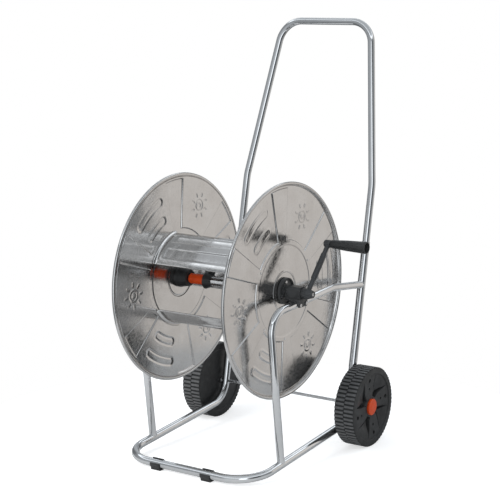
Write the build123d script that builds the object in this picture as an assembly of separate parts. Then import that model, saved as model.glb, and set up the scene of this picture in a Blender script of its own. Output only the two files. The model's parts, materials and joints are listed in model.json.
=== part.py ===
"""Garden hose reel cart: bent tube frame, two wheels, a reel of stamped sheet metal and its crank.

Design frame: X across the cart (+X is the crank side, 0 is the middle of the frame), +Y to the rear,
+Z up with 0 on the floor. At the end everything is moved so that the origin is the bottom centre
of the whole cart's box. Lengths are in millimetres, angles in degrees.
"""
from build123d import *
import math
import os

# ---------------------------------------------------------------- driving dimensions
# frame
half_track = 189.0
frame_tube_r = 10.0
frame_tube_wall = 0.9
front_y, front_z = -199.0, 15.0
rear_y, rear_z = 230.0, 53.0
knee_y, knee_z = 341.5, 641.0
front_bend, rear_bend = 85.0, 60.0
joint_z = 500.0

# push handle
handle_tube_r = 9.0
handle_tube_wall = 1.0
handle_insert = 60.0
top_half, top_y, top_z = 130.5, 429.5, 1042.5
knee_bend, top_bend = 150.0, 62.0
rivet_r, rivet_head_r, rivet_head, rivet_dome = 2.4, 4.6, 2.0, 1.4
rivet_bulb_r, rivet_bulb, rivet_bulb_gap = 3.2, 2.0, 0.6
rivet_below_joint = 25.0

# side supports
support_tube_r = 9.0
support_tube_wall = 1.0
foot_along_rail = 0.29
arm_front_y, arm_front_z = -122.5, 392.0
arm_rear_y, arm_rear_z = 150.5, 410.0
arm_end_z = 394.0
arm_front_bend, arm_rear_bend = 48.0, 60.0

# foot clips under the front bar
clip_length = 27.5
clip_x = (-79.0, 66.5)
clip_wall = 2.6
clip_sole_half = 8.0
clip_lip = 3.0

# wheels and axle
wheel_r = 100.0
wheel_width = 54.0
wheel_outer_x = 258.0
tread_depth = 2.6
tread_ribs = 60
rib_share = 0.62
rim_wall = 6.0
face_wall = 3.0
shell_lap = 1.0
wheel_boss_r = 10.0
cap_seat_wall = 4.0
web_hole_depth = 12.0
dish_r, dish_depth = 84.0, 2.0
fan_count, fan_angle, fan_first = 4, 45.0, 57.0
fan_inner_r, fan_outer_r, fan_depth = 31.0, 81.0, 13.0
web_hole_r, web_hole_at = 3.4, 70.0
web_small_hole_r, web_small_hole_at, web_small_hole_turn = 2.2, 45.0, 4.0
groove_width, groove_depth = 2.4, 2.4
wheel_hub_r = 26.0
cap_r, cap_thickness, cap_depth = 20.4, 2.6, 12.0
cap_skirt_wall, cap_skirt_short = 2.0, 3.0
cap_dome, cap_dome_r = 0.9, (19.4, 14.4)
axle_r = 4.0
axle_half_length = 249.0
axle_spacer_r = 8.0
running_gap = 0.05
end_gap = 0.5
push_nut_r, push_nut_collar_r, push_nut_thickness, push_nut_lift = 9.0, 5.6, 1.2, 0.6

# reel
axis_z = 424.0
reel_left_x, reel_right_x = -155.5, 146.5
sheet = 0.8
star_offset = 2.5
flange_r = 257.5
ring_bead_at, ring_bead_half, ring_bead_height = 47.0, 1.6, 0.9
bead_r = 4.0
star_hub_r, star_tip_r = 121.0, 243.0
spoke_angle = 16.0
spoke_count, spoke_first = 6, 35.0
pill_sectors = (125.0, 245.0, 5.0)
pill_height = 1.2
pill_half_width = 12.0
pill_outer_at, pill_outer_half = 210.0, 12.0
pill_inner_at, pill_inner_half = 162.0, 10.0
rosette_sectors = (65.0, 185.0, 305.0)
rosette_at, rosette_height = 185.0, 1.0
rosette_dome_r, rosette_ring_r = 6.5, (12.0, 15.0)
rosette_ray_count, rosette_ray = 8, (21.0, 33.0, 5.0)
drum_r = 113.0
drum_tab_r = 118.6
drum_sheet_angle = 56.0
drum_sheets = {"drum_sheet_upper": 126.0, "drum_sheet_lower": 246.0, "drum_sheet_rear": 6.0}
drum_edge_r = 2.2
drum_edge_short = 6.0
drum_rivet_at, drum_rivet_spread = 116.0, 24.0
drum_rivet_r, drum_rivet_head_r, drum_rivet_tail_r, drum_rivet_head = 1.6, 2.6, 2.3, 1.0

# hubs and bearings
journal_r = 12.0
flange_hole_r = 14.0
cup_r, cup_depth, cup_wall, cup_recess, cup_boss_r = 32.0, 7.0, 3.0, 4.5, 15.0
hole_clearance = 0.1
hub_inner_r, hub_inner_depth = 25.0, 8.0
hub_screw_r, hub_screw_at, hub_screw_head_r, hub_screw_head = 2.0, 21.0, 3.6, 2.2
hub_screw_reach, hub_screw_hole = 8.5, 9.0
slot_width, slot_depth, slot_length = 1.0, 0.9, 12.0
cross_width, cross_length, cross_depth = 1.0, 4.6, 1.0
block_right = (159.5, 200.0)
block_left = (-205.0, -168.5)
block_top, block_half_y, block_left_half_y = 15.0, 13.0, 22.0
skirt_half_y, skirt_wall, skirt_lap = 19.0, 3.0, 3.0
skirt_short, skirt_corner, block_corner = 1.0, 3.5, 3.0
block_collar_r, block_collar_length, block_sink = 14.6, 4.0, 4.0
block_screw_drop = 2.0
block_screw_y, block_screw_r = 12.0, 2.0
block_screw_head_r, block_screw_head = 3.8, 2.4
block_nut_r, block_nut_depth = 3.9, 3.0

# water path on the reel axis
water_bore_r = 7.0
manifold_end_x = -126.0
manifold_cone_r = (24.0, 20.0)
connector_socket = 14.0
connector_r, connector_bore_r = 9.0, 5.5
connector_end_x = -76.5
stop_ring_r, stop_ring_x, stop_ring_width = 11.0, -92.0, 2.0
sleeve_r = 12.5
sleeve_x = (-124.6, -82.0)
sleeve_pocket_r, sleeve_pocket_x = 11.4, (-104.0, -89.7)
spring_r, spring_wire_r, spring_turns = 10.1, 0.55, 4
spring_x = (-98.6, -92.7)
outlet_x = (-76.5, -57.0)
outlet_cone_r = (21.0, 13.5)
outlet_angle = 66.0
outlet_bore_r, outlet_tube_r, outlet_reach = 5.5, 8.5, 62.0
outlet_plug = 14.0
barb_count, barb_height, barb_pitch, barb_lead = 3, 1.2, 6.5, 8.0
shaft_r, shaft_wall = 12.5, 1.5
socket_depth, socket_floor = 22.0, 3.0
socket_cone_r = (15.5, 21.0)

# water inlet on the left
inlet_flange_length, inlet_flange_width, inlet_flange_depth = 44.0, 27.0, 4.0
inlet_body_r = 11.0
inlet_turn_x = -222.0
inlet_reach = 52.0
inlet_angle = 235.0
inlet_branch = 22.0
nipple_r, nipple_waist_r = 8.4, 6.6
nipple_collar_at, nipple_collar = 34.0, 6.0
nipple_tip_r, nipple_tip = 7.5, 7.0
inlet_bore_r = 3.95
spigot_r, spigot_depth = 6.95, 28.0
o_ring_r, o_ring_gap = 0.9, 0.05
o_ring_at = (12.0, 20.0)
inlet_screw_at, inlet_screw_r, inlet_screw_depth = 17.0, 1.6, 10.0
inlet_screw_head_r, inlet_screw_head = 2.9, 1.8

# crank and grip
boss_x = (201.6, 229.0)
boss_r = (13.2, 7.6)
boss_straight = 12.0
sleeve_round, eye_round = 2.2, 4.0
crank_screw_depth, crank_screw_sink = 11.0, 1.0
drive_square, drive_depth, drive_gap = 14.0, 9.0, 0.1
crank_x = 211.5
crank_angle = 48.0
crank_length = 141.0
rod_r, rod_sleeve_r = 5.6, 6.6
rod_sleeve = (0.30, 0.79)
eye_r, eye_x = 9.2, (202.0, 219.0)
pin_r, pin_lip = 5.0, 0.6
grip_screw_depth = 14.0
grip_x = (219.4, 316.0)
grip_r = (9.4, 12.6, 14.4)
grip_middle = 0.45
grip_chamfer, mouth_taper = (0.8, 1.0), 0.8
grip_mouth_x, grip_mouth_r = 299.6, 11.4
grip_washer_r, grip_washer_thickness = 8.0, 1.2
screw_head_r, screw_head, screw_head_gap = 4.0, 2.6, 0.1

# how far a cutting body runs past the material
overcut = 1.0

# ---------------------------------------------------------------- helpers
along_x = Axis((0, 0, 0), (1, 0, 0))


def tube_path(points, radii):
    """Straight runs joined by tangent arcs, one radius for each inner point."""
    return FilletPolyline(*points, radius=radii)


def swept(path, outer_r, inner_r=0.0):
    """A round bar, or a tube where inner_r is given, along a path."""
    start = Plane(origin=path @ 0, z_dir=path % 0)
    section = Circle(outer_r)
    if inner_r:
        section -= Circle(inner_r)
    return sweep(start * section, path=path)


def x_cylinder(radius, x_low, x_high, y=0.0, z=0.0):
    """A cylinder along X between two x values."""
    plane = Plane(origin=(x_low, y, z), x_dir=(0, 1, 0), z_dir=(1, 0, 0))
    return extrude(plane * Circle(radius), x_high - x_low)


def x_ring(outer_r, inner_r, x_low, x_high, y=0.0, z=0.0):
    """A ring along X between two x values."""
    bore = x_cylinder(inner_r, x_low - overcut, x_high + overcut, y, z)
    return x_cylinder(outer_r, x_low, x_high, y, z) - bore


def x_cone(r_low, r_high, x_low, x_high, y=0.0, z=0.0):
    """A cone along X, with its two radii at the two x values."""
    outline = Polyline((x_low, 0), (x_low, r_low), (x_high, r_high), (x_high, 0), close=True)
    solid = revolve(Plane.XZ * make_face(outline), along_x)
    return Pos(0, y, z) * solid


def turned(outline_points):
    """A body of revolution about X from (x, radius) points."""
    return revolve(Plane.XZ * make_face(Polyline(*outline_points, close=True)), along_x)


def x_extruded(sketch, x_low, x_high):
    """A sketch drawn in (Y, Z) and extruded along X."""
    plane = Plane(origin=(x_low, 0, 0), x_dir=(0, 1, 0), z_dir=(1, 0, 0))
    return extrude(plane * sketch, x_high - x_low)


def polar(radius, angle):
    """(Y, Z) of a point about the X axis: angle 0 is to the rear, 90 is up."""
    return radius * math.cos(math.radians(angle)), radius * math.sin(math.radians(angle))


def ring_sector(inner_r, outer_r, angle, spread):
    """A sketch of a ring's sector in (Y, Z), centred on an angle."""
    low, high = angle - spread / 2, angle + spread / 2
    outer = CenterArc((0, 0), outer_r, low, spread)
    inner = CenterArc((0, 0), inner_r, low, spread)
    sides = [Line(polar(inner_r, low), polar(outer_r, low)), Line(polar(inner_r, high), polar(outer_r, high))]
    return make_face([outer, inner, *sides])


def at_reel(shape):
    """Moves a shape drawn about the X axis up to the reel's axis."""
    return Pos(0, 0, axis_z) * shape


def cross_recess(x, y, z):
    """The driver's cross cut into a screw head's face at x."""
    long, short, deep = cross_length, cross_width, 2 * cross_depth
    return Pos(x, y, z) * (Box(deep, short, long) + Box(deep, long, short))


def solids_group(shapes):
    """Separate identical solids kept together in one node."""
    return Compound(children=[solid for shape in shapes for solid in shape.solids()])


def mirrored(shape):
    """The left-hand twin of a right-hand shape."""
    return mirror(shape, about=Plane.YZ)


def upright_y(z):
    """Y of the upright's centreline at a height."""
    return rear_y + (z - rear_z) * (knee_y - rear_y) / (knee_z - rear_z)


# ---------------------------------------------------------------- frame
def lower_frame_path():
    """Left upright's top, down, round the floor loop and up to the right upright's top."""
    right = [
        (half_track, front_y, front_z),
        (half_track, rear_y, rear_z),
        (half_track, upright_y(joint_z), joint_z),
    ]
    left = [(-x, y, z) for x, y, z in reversed(right)]
    return tube_path(left + right, [rear_bend, front_bend, front_bend, rear_bend])


def rivet_planes():
    """Planes on the uprights' centreline, square to it and facing the rear, one for each handle rivet."""
    z = joint_z - rivet_below_joint
    lean = math.atan2(knee_y - rear_y, knee_z - rear_z)
    rearward = (0, math.cos(lean), -math.sin(lean))
    return [Plane(origin=(side * half_track, upright_y(z), z), z_dir=rearward) for side in (-1, 1)]


def rivet_bar(plane, radius, start, end):
    """A short round bar square to an upright, between two distances from its centreline."""
    return extrude(plane.offset(start) * Circle(radius), end - start)


def make_lower_frame():
    tube = swept(lower_frame_path(), frame_tube_r, frame_tube_r - frame_tube_wall)
    hole = axle_r + running_gap
    tube -= x_cylinder(hole, -half_track - 2 * frame_tube_r, half_track + 2 * frame_tube_r, axle_y, wheel_r)
    for plane in rivet_planes():
        tube -= rivet_bar(plane, rivet_r, 0, 2 * frame_tube_r)
    return tube


def make_push_handle():
    bottom_z = joint_z - handle_insert
    right = [
        (top_half, top_y, top_z),
        (half_track, knee_y, knee_z),
        (half_track, upright_y(bottom_z), bottom_z),
    ]
    left = [(-x, y, z) for x, y, z in reversed(right)]
    path = tube_path(left + right, [knee_bend, top_bend, top_bend, knee_bend])
    tube = swept(path, handle_tube_r, handle_tube_r - handle_tube_wall)
    for plane in rivet_planes():
        tube -= rivet_bar(plane, rivet_r, 0, 2 * frame_tube_r)
    return tube


def make_handle_rivets():
    """Blind rivets with a domed head outside and a bulb inside the tube."""
    rivets = []
    bulb_end = handle_tube_r - handle_tube_wall - rivet_bulb_gap
    for plane in rivet_planes():
        head = rivet_bar(plane, rivet_head_r, frame_tube_r, frame_tube_r + rivet_head)
        rim = head.faces().sort_by(Axis.Y)[-1].edges()
        shank = rivet_bar(plane, rivet_r, bulb_end - rivet_bulb, frame_tube_r)
        bulb = rivet_bar(plane, rivet_bulb_r, bulb_end - rivet_bulb, bulb_end)
        rivets.append(shank + fillet(rim, rivet_dome) + bulb)
    return solids_group(rivets)


def make_support_right(lower_frame_bar):
    """Tube from the rail up, back under the hub and on to the upright, coped at both ends."""
    foot_y = front_y + (rear_y - front_y) * foot_along_rail
    foot_z = front_z + (rear_z - front_z) * foot_along_rail
    points = [
        (half_track, foot_y, foot_z),
        (half_track, arm_front_y, arm_front_z),
        (half_track, arm_rear_y, arm_rear_z),
        (half_track, upright_y(arm_end_z), arm_end_z),
    ]
    path = tube_path(points, [arm_front_bend, arm_rear_bend])
    tube = swept(path, support_tube_r, support_tube_r - support_tube_wall)
    for screw_x, screw_y, screw_z in block_screw_sites():
        tube -= x_cylinder(block_screw_r, screw_x - frame_tube_r, screw_x + frame_tube_r, screw_y, screw_z)
    coped = tube - lower_frame_bar
    return max(coped.solids(), key=lambda solid: solid.volume)


def arm_z(y):
    """Height of the support arm's centreline under the reel."""
    return arm_front_z + (y - arm_front_y) * (arm_rear_z - arm_front_z) / (arm_rear_y - arm_front_y)


def make_foot_clip(x_middle):
    """Snap-on plastic foot: a sleeve open at the top front, on a flat sole."""
    low, high = x_middle - clip_length / 2, x_middle + clip_length / 2
    outer = frame_tube_r + clip_wall
    sleeve = x_cylinder(outer, low, high, front_y, front_z)
    sole = Pos(x_middle, front_y, front_z / 2) * Box(clip_length, 2 * clip_sole_half, front_z)
    opening = Box(2 * clip_length, outer, outer)
    opening = Pos(x_middle, front_y - outer / 2, front_z + outer / 2 + clip_lip) * opening
    return sleeve + sole - opening - x_cylinder(frame_tube_r, low - overcut, high + overcut, front_y, front_z)


# ---------------------------------------------------------------- axle and wheels
axle_y = upright_y(wheel_r)
wheel_inner_x = wheel_outer_x - wheel_width
wheel_seam_x = wheel_outer_x - wheel_width / 2


def at_wheel(shape):
    return Pos(0, axle_y, wheel_r) * shape


def make_axle_rod():
    return at_wheel(x_cylinder(axle_r, -axle_half_length, axle_half_length))


def make_axle_spacers():
    low, high = half_track + frame_tube_r, wheel_inner_x - end_gap
    right = at_wheel(x_ring(axle_spacer_r, axle_r, low, high))
    return solids_group([right, mirrored(right)])


def make_push_nut():
    """Spring-steel nut pushed on the rod's end inside the wheel's hub."""
    low = wheel_outer_x - cap_depth + push_nut_lift
    disc = x_ring(push_nut_r, axle_r, low, low + push_nut_thickness)
    collar = x_ring(push_nut_collar_r, axle_r, low, low + 2 * push_nut_thickness)
    return at_wheel(disc + collar)


def tread_row(x_low, x_high, phase):
    """One row of cross ribs round the rim, as a toothed ring."""
    pitch = 360 / tread_ribs
    root_r = wheel_r - tread_depth
    rib = Pos(root_r, 0) * Rectangle(4 * tread_depth, rib_share * math.radians(pitch) * wheel_r)
    crown = Circle(wheel_r) - Circle(root_r - shell_lap)
    ribs = Sketch() + [Rot(0, 0, phase + i * pitch) * rib for i in range(tread_ribs)]
    ring = Circle(root_r) - Circle(root_r - rim_wall)
    return x_extruded(ring + (ribs & crown), x_low, x_high)


def fan_sector(extra, angle):
    """Body of one ramped fan recess, deep at the hub and shallow at the rim."""
    spread = fan_angle + math.degrees(2 * extra / fan_outer_r)
    x_out = wheel_outer_x + overcut
    outline = [
        (x_out, fan_inner_r - extra),
        (wheel_outer_x - fan_depth - extra, fan_inner_r - extra),
        (wheel_outer_x - dish_depth - extra, fan_outer_r + extra),
        (x_out, fan_outer_r + extra),
    ]
    face = Plane.XZ * make_face(Polyline(*outline, close=True))
    return Rot(angle - spread / 2, 0, 0) * revolve(Rot(-90, 0, 0) * face, along_x, revolution_arc=spread)


def make_wheel_outer():
    """Outer half shell: tread row, dished face with fan recesses, hub with the cap's seat."""
    seam = wheel_seam_x
    shell = tread_row(seam + groove_width / 2, wheel_outer_x, 0)
    shell += x_ring(wheel_r - groove_depth, wheel_r - tread_depth - rim_wall, seam, seam + groove_width / 2)
    shell += x_ring(wheel_r - tread_depth - shell_lap, dish_r, wheel_outer_x - face_wall, wheel_outer_x)
    dish_x = wheel_outer_x - dish_depth
    shell += x_ring(dish_r + face_wall, axle_r, dish_x - face_wall, dish_x)
    shell += x_cylinder(wheel_hub_r, wheel_outer_x - cap_depth - cap_seat_wall, wheel_outer_x)
    shell += x_cylinder(wheel_boss_r, seam, wheel_outer_x - cap_depth)
    inside = x_cylinder(wheel_r - tread_depth - shell_lap, seam, wheel_outer_x)
    for i in range(fan_count):
        angle = fan_first + i * 360 / fan_count
        shell += fan_sector(face_wall, angle) & inside
    for i in range(fan_count):
        shell -= fan_sector(0, fan_first + i * 360 / fan_count)
    for i in range(fan_count):
        angle = fan_first + (i + 0.5) * 360 / fan_count
        y, z = polar(web_hole_at, angle)
        shell -= x_cylinder(web_hole_r, wheel_outer_x - web_hole_depth, wheel_outer_x, y, z)
        y, z = polar(web_small_hole_at, angle + web_small_hole_turn)
        shell -= x_cylinder(web_small_hole_r, wheel_outer_x - web_hole_depth, wheel_outer_x, y, z)
    shell -= x_cylinder(wheel_r, wheel_outer_x, wheel_outer_x + wheel_width)
    shell -= x_cylinder(cap_r, wheel_outer_x - cap_depth, wheel_outer_x + overcut)
    shell -= x_cylinder(axle_r + running_gap, seam - overcut, wheel_outer_x + overcut)
    return at_wheel(shell)


def make_wheel_inner():
    """Inner half shell: the second tread row, offset by half a pitch, and a plain closed face."""
    seam = wheel_seam_x
    shell = tread_row(wheel_inner_x, seam - groove_width / 2, 180 / tread_ribs)
    shell += x_ring(wheel_r - groove_depth, wheel_r - tread_depth - rim_wall, seam - groove_width / 2, seam)
    shell += x_cylinder(wheel_r - tread_depth - shell_lap, wheel_inner_x, wheel_inner_x + face_wall)
    shell += x_cylinder(wheel_boss_r, wheel_inner_x, seam)
    shell -= x_cylinder(axle_r + running_gap, wheel_inner_x - overcut, seam + overcut)
    return at_wheel(shell)


def make_hub_cap():
    """Domed snap-in cap over the axle's end."""
    disc = x_cylinder(cap_r, wheel_outer_x - cap_thickness, wheel_outer_x)
    dome = x_cone(*cap_dome_r, wheel_outer_x, wheel_outer_x + cap_dome)
    skirt_x = wheel_outer_x - cap_depth + cap_skirt_short
    skirt = x_ring(cap_r, cap_r - cap_skirt_wall, skirt_x, wheel_outer_x - cap_thickness)
    return at_wheel(disc + dome + skirt)


# ---------------------------------------------------------------- reel
def star_sketch(inset):
    """Outline of the raised star: a hub disc and its spokes, drawn smaller by an inset."""
    star = Sketch() + Circle(star_hub_r - inset)
    for i in range(spoke_count):
        spread = spoke_angle - math.degrees(2 * inset / ((star_hub_r + star_tip_r) / 2))
        star += ring_sector(star_hub_r / 2, star_tip_r - inset, spoke_first + i * 360 / spoke_count, spread)
    return star


def pill_sketch(angle):
    """The two kidney-shaped bosses of one wide sector."""
    pills = Sketch()
    for centre, half in ((pill_outer_at, pill_outer_half), (pill_inner_at, pill_inner_half)):
        pills += ring_sector(centre - pill_half_width, centre + pill_half_width, angle, 2 * half)
        for side in (-1, 1):
            pills += Pos(*polar(centre, angle + side * half)) * Circle(pill_half_width)
    return pills


def rosette_sketch(angle):
    """The stamped ornament of a sector: a dot, a ring and short rays."""
    near, far, width = rosette_ray
    ray = Pos((near + far) / 2, 0) * SlotOverall(far - near, width)
    rosette = Circle(rosette_dome_r) + (Circle(rosette_ring_r[1]) - Circle(rosette_ring_r[0]))
    rosette += [Rot(0, 0, i * 360 / rosette_ray_count) * ray for i in range(rosette_ray_count)]
    return Pos(*polar(rosette_at, angle)) * Rot(0, 0, angle) * rosette


def rivet_angles():
    """Angles of the drum rivets, two for each drum sheet."""
    return [middle + side * drum_rivet_spread for middle in drum_sheets.values() for side in (-1, 1)]


def make_flange(inner_face_x, outward):
    """Stamped disc: a star pressed outwards, kidney bosses and a rolled rim."""
    low, high = 0.0, sheet
    star = star_sketch(0)
    disc = x_extruded(Circle(flange_r - bead_r) - star, low, high)
    plate = x_extruded(star, star_offset, star_offset + sheet)
    wall = x_extruded(star - star_sketch(sheet), low, star_offset + sheet)
    bead = revolve(Plane.XZ * (Pos(bead_r, flange_r - bead_r) * Circle(bead_r)), along_x)
    flange = disc + plate + wall + bead
    for angle in pill_sectors:
        flange += x_extruded(pill_sketch(angle), high, high + pill_height)
    for angle in rosette_sectors:
        flange += x_extruded(rosette_sketch(angle), high, high + rosette_height)
    ring = (ring_bead_at + ring_bead_half, ring_bead_at - ring_bead_half)
    flange += x_ring(*ring, star_offset, star_offset + sheet + ring_bead_height)
    drill = (-overcut, star_offset + sheet + overcut)
    flange -= x_cylinder(flange_hole_r, *drill)
    for y, z in hub_screw_sites():
        flange -= x_cylinder(hub_screw_r, *drill, y, z)
    for angle in rivet_angles():
        flange -= x_cylinder(drum_rivet_r, *drill, *polar(drum_rivet_at, angle))
    if outward < 0:
        flange = mirrored(flange)
    return at_reel(Pos(inner_face_x, 0, 0) * flange)


star_left_x = reel_left_x - star_offset
star_right_x = reel_right_x + star_offset


def make_drum_sheet(angle):
    """One curved drum segment with turned-out ends and rolled long edges."""
    body = ring_sector(drum_r - sheet, drum_r, angle, drum_sheet_angle)
    tab = ring_sector(drum_r - sheet, drum_tab_r, angle, drum_sheet_angle)
    part = x_extruded(body, star_left_x, star_right_x)
    part += x_extruded(tab, star_left_x, star_left_x + sheet)
    part += x_extruded(tab, star_right_x - sheet, star_right_x)
    for side in (-1, 1):
        y, z = polar(drum_r - drum_edge_r, angle + side * drum_sheet_angle / 2)
        part += x_cylinder(drum_edge_r, star_left_x + drum_edge_short, star_right_x - drum_edge_short, y, z)
    for side in (-1, 1):
        y, z = polar(drum_rivet_at, angle + side * drum_rivet_spread)
        part -= x_cylinder(drum_rivet_r, star_left_x - overcut, star_left_x + 2 * sheet, y, z)
        part -= x_cylinder(drum_rivet_r, star_right_x - 2 * sheet, star_right_x + overcut, y, z)
    return at_reel(part)


def make_drum_rivets():
    """Flat rivets through each drum tab and the flange."""
    rivets = []
    for angle in rivet_angles():
        y, z = polar(drum_rivet_at, angle)
        for face_x, way in ((star_left_x, -1), (star_right_x, 1)):
            inner = face_x - way * (sheet + drum_rivet_head)
            outer = face_x + way * (sheet + drum_rivet_head)
            shank = x_cylinder(drum_rivet_r, min(inner, outer), max(inner, outer), y, z)
            head_x = sorted((outer, outer - way * drum_rivet_head))
            tail_x = sorted((inner, inner + way * drum_rivet_head))
            head = x_cylinder(drum_rivet_head_r, *head_x, y, z)
            tail = x_cylinder(drum_rivet_tail_r, *tail_x, y, z)
            rivets.append(at_reel(shank + head + tail))
    return solids_group(rivets)


# ---------------------------------------------------------------- hubs
def hub_screw_sites():
    return [polar(hub_screw_at, 90 + i * 120) for i in range(3)]


star_outer_right = star_right_x + sheet
star_outer_left = star_left_x - sheet


def make_hub_cup_right():
    """Outer hub: a recessed disc on the flange, the journal and the crank's square drive."""
    low = star_outer_right
    cup = x_cylinder(cup_r, low, low + cup_depth)
    cup -= x_ring(cup_r - cup_wall, cup_boss_r, low + cup_depth - cup_recess, low + cup_depth + overcut)
    cup += x_cylinder(flange_hole_r - hole_clearance, star_right_x, low)
    cup += x_cylinder(journal_r, low, boss_x[0])
    cup += x_extruded(Rectangle(drive_square, drive_square), boss_x[0] - overcut, boss_x[0] + drive_depth)
    cup -= x_cylinder(hub_screw_r, boss_x[0] - crank_screw_depth - overcut, boss_x[0] + drive_depth + overcut)
    for y, z in hub_screw_sites():
        cup -= x_cylinder(hub_screw_r, low - cup_depth, low + cup_depth + overcut, y, z)
    return at_reel(cup)


def make_hub_cup_left():
    """Outer hub on the inlet side: a recessed disc and a hollow journal for the water."""
    high = star_outer_left
    cup = x_cylinder(cup_r, high - cup_depth, high)
    cup -= x_ring(cup_r - cup_wall, cup_boss_r, high - cup_depth - overcut, high - cup_depth + cup_recess)
    cup += x_cylinder(flange_hole_r - hole_clearance, high, star_left_x)
    cup += x_cylinder(journal_r, block_left[0] + end_gap, high)
    cup -= x_cylinder(water_bore_r, block_left[0] - overcut, star_left_x + overcut)
    for y, z in hub_screw_sites():
        cup -= x_cylinder(hub_screw_r, high - cup_depth - overcut, star_left_x + overcut, y, z)
    return at_reel(cup)


def make_manifold():
    """Inner hub on the inlet side, which carries the water on along the axis."""
    low = star_left_x
    body = x_cylinder(hub_inner_r, low, low + hub_inner_depth)
    body += x_cone(*manifold_cone_r, low + hub_inner_depth, manifold_end_x)
    body -= x_cylinder(water_bore_r, low - overcut, manifold_end_x - connector_socket)
    body -= x_cylinder(connector_r, manifold_end_x - connector_socket, manifold_end_x + overcut)
    for y, z in hub_screw_sites():
        body -= x_cylinder(hub_screw_r, low - overcut, low + hub_screw_hole, y, z)
    return at_reel(body)


def make_shaft_socket():
    """Inner hub on the crank side, which holds the reel shaft's end."""
    high = star_right_x
    body = x_cylinder(hub_inner_r, high - hub_inner_depth, high)
    body += x_cone(*socket_cone_r, high - socket_depth, high - hub_inner_depth)
    body -= x_cylinder(shaft_r, high - socket_depth - overcut, high - socket_floor)
    for y, z in hub_screw_sites():
        body -= x_cylinder(hub_screw_r, high - hub_screw_hole, high + overcut, y, z)
    return at_reel(body)


def make_hub_screws(face_x, way):
    """Three screws through the cup's floor and the flange into the inner hub."""
    screws = []
    head_out = face_x + way * (cup_depth - cup_recess)
    for y, z in hub_screw_sites():
        ends = sorted((face_x - way * (sheet + hub_screw_reach), head_out))
        shank = x_cylinder(hub_screw_r, *ends, y, z)
        head = x_cylinder(hub_screw_head_r, *sorted((head_out, head_out + way * hub_screw_head)), y, z)
        slot = Pos(head_out + way * hub_screw_head, y, z) * Box(2 * slot_depth, slot_width, slot_length)
        screws.append(at_reel(shank + head - slot))
    return solids_group(screws)


def block_screw_sites():
    """Centres of the screws through the right bearing block's skirts, below the arm's centre."""
    return [(half_track, y, arm_z(y) - block_screw_drop) for y in (-block_screw_y, block_screw_y)]


def make_bearing_block(x_low, x_high, arm_x, half_y):
    """Plastic block with the journal's bore, saddled on the arm with two skirts."""
    middle = (x_low + x_high) / 2
    arm_top = arm_z(0) + support_tube_r - axis_z
    box_low = arm_top - block_sink
    body = Box(x_high - x_low, 2 * half_y, block_top - box_low)
    body = Pos(middle, 0, (block_top + box_low) / 2) * body
    body = fillet(body.edges().filter_by(Axis.X).group_by(Axis.Z)[-1], block_corner)
    for end_x in (x_low, x_high):
        way = 1 if end_x == x_high else -1
        body += x_cylinder(block_collar_r, *sorted((end_x - way * block_collar_length, end_x)))
    skirt_low = arm_z(0) - support_tube_r - axis_z + skirt_short
    half_width = support_tube_r + skirt_wall
    skirt = Box(2 * half_width, 2 * skirt_half_y, arm_top + skirt_lap - skirt_low)
    skirt = Pos(arm_x, 0, (arm_top + skirt_lap + skirt_low) / 2) * skirt
    skirt = fillet(skirt.edges().filter_by(Axis.X), skirt_corner)
    body += skirt
    slope = math.degrees(math.atan2(arm_z(1) - arm_z(0), 1))
    arm_plane = Plane(origin=(arm_x, 0, arm_z(0) - axis_z), z_dir=(0, 1, 0))
    reach = 3 * skirt_half_y
    arm_bar = extrude(arm_plane * Circle(support_tube_r), reach, both=True)
    slot = Pos(arm_x, 0, arm_z(0) - axis_z - reach / 2) * Box(2 * support_tube_r, 2 * reach, reach)
    body -= turn_about((arm_x, 0, arm_z(0) - axis_z), arm_bar + slot, slope)
    body -= x_cylinder(journal_r + running_gap, x_low - overcut, x_high + overcut)
    for _, y, z in block_screw_sites():
        body -= x_cylinder(block_screw_r, arm_x - reach, arm_x + reach, y, z - axis_z)
    return at_reel(body)


def make_bearing_block_left():
    """The wider left block, drilled for the two screws of the water inlet."""
    block = make_bearing_block(*block_left, -half_track, block_left_half_y)
    low = block_left[0]
    for y, z in inlet_screw_sites():
        block -= at_reel(x_cylinder(inlet_screw_r, low - overcut, low + inlet_screw_depth, y, z))
    return block


def turn_about(point, shape, angle):
    """Turns a shape about an X line through a point."""
    x, y, z = point
    return Pos(x, y, z) * Rot(angle, 0, 0) * Pos(-x, -y, -z) * shape


def make_block_screws():
    """Two machine screws through the skirts and the arm, heads outboard."""
    reach = support_tube_r + skirt_wall
    screws = []
    for x, y, z in block_screw_sites():
        shank = x_cylinder(block_screw_r, x - reach - block_nut_depth - overcut, x + reach, y, z)
        head = x_cylinder(block_screw_head_r, x + reach, x + reach + block_screw_head, y, z)
        screws.append(shank + head - cross_recess(x + reach + block_screw_head, y, z))
    return solids_group(screws)


def make_block_nuts():
    """Hexagon nuts on the inboard ends of the block's screws."""
    reach = support_tube_r + skirt_wall
    nuts = []
    for x, y, z in block_screw_sites():
        plane = Plane(origin=(x - reach - block_nut_depth, y, z), z_dir=(1, 0, 0))
        hexagon = RegularPolygon(block_nut_r, 6) - Circle(block_screw_r)
        nuts.append(extrude(plane * hexagon, block_nut_depth))
    return solids_group(nuts)


# ---------------------------------------------------------------- water path
def make_connector_body():
    """Plug-in tube between the manifold and the outlet, with the sleeve's stop ring."""
    body = x_cylinder(connector_r, manifold_end_x - connector_socket, connector_end_x)
    body += x_cylinder(stop_ring_r, stop_ring_x, stop_ring_x + stop_ring_width)
    bore = (manifold_end_x - connector_socket - overcut, connector_end_x + overcut)
    body -= x_cylinder(connector_bore_r, *bore)
    return at_reel(body)


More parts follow.
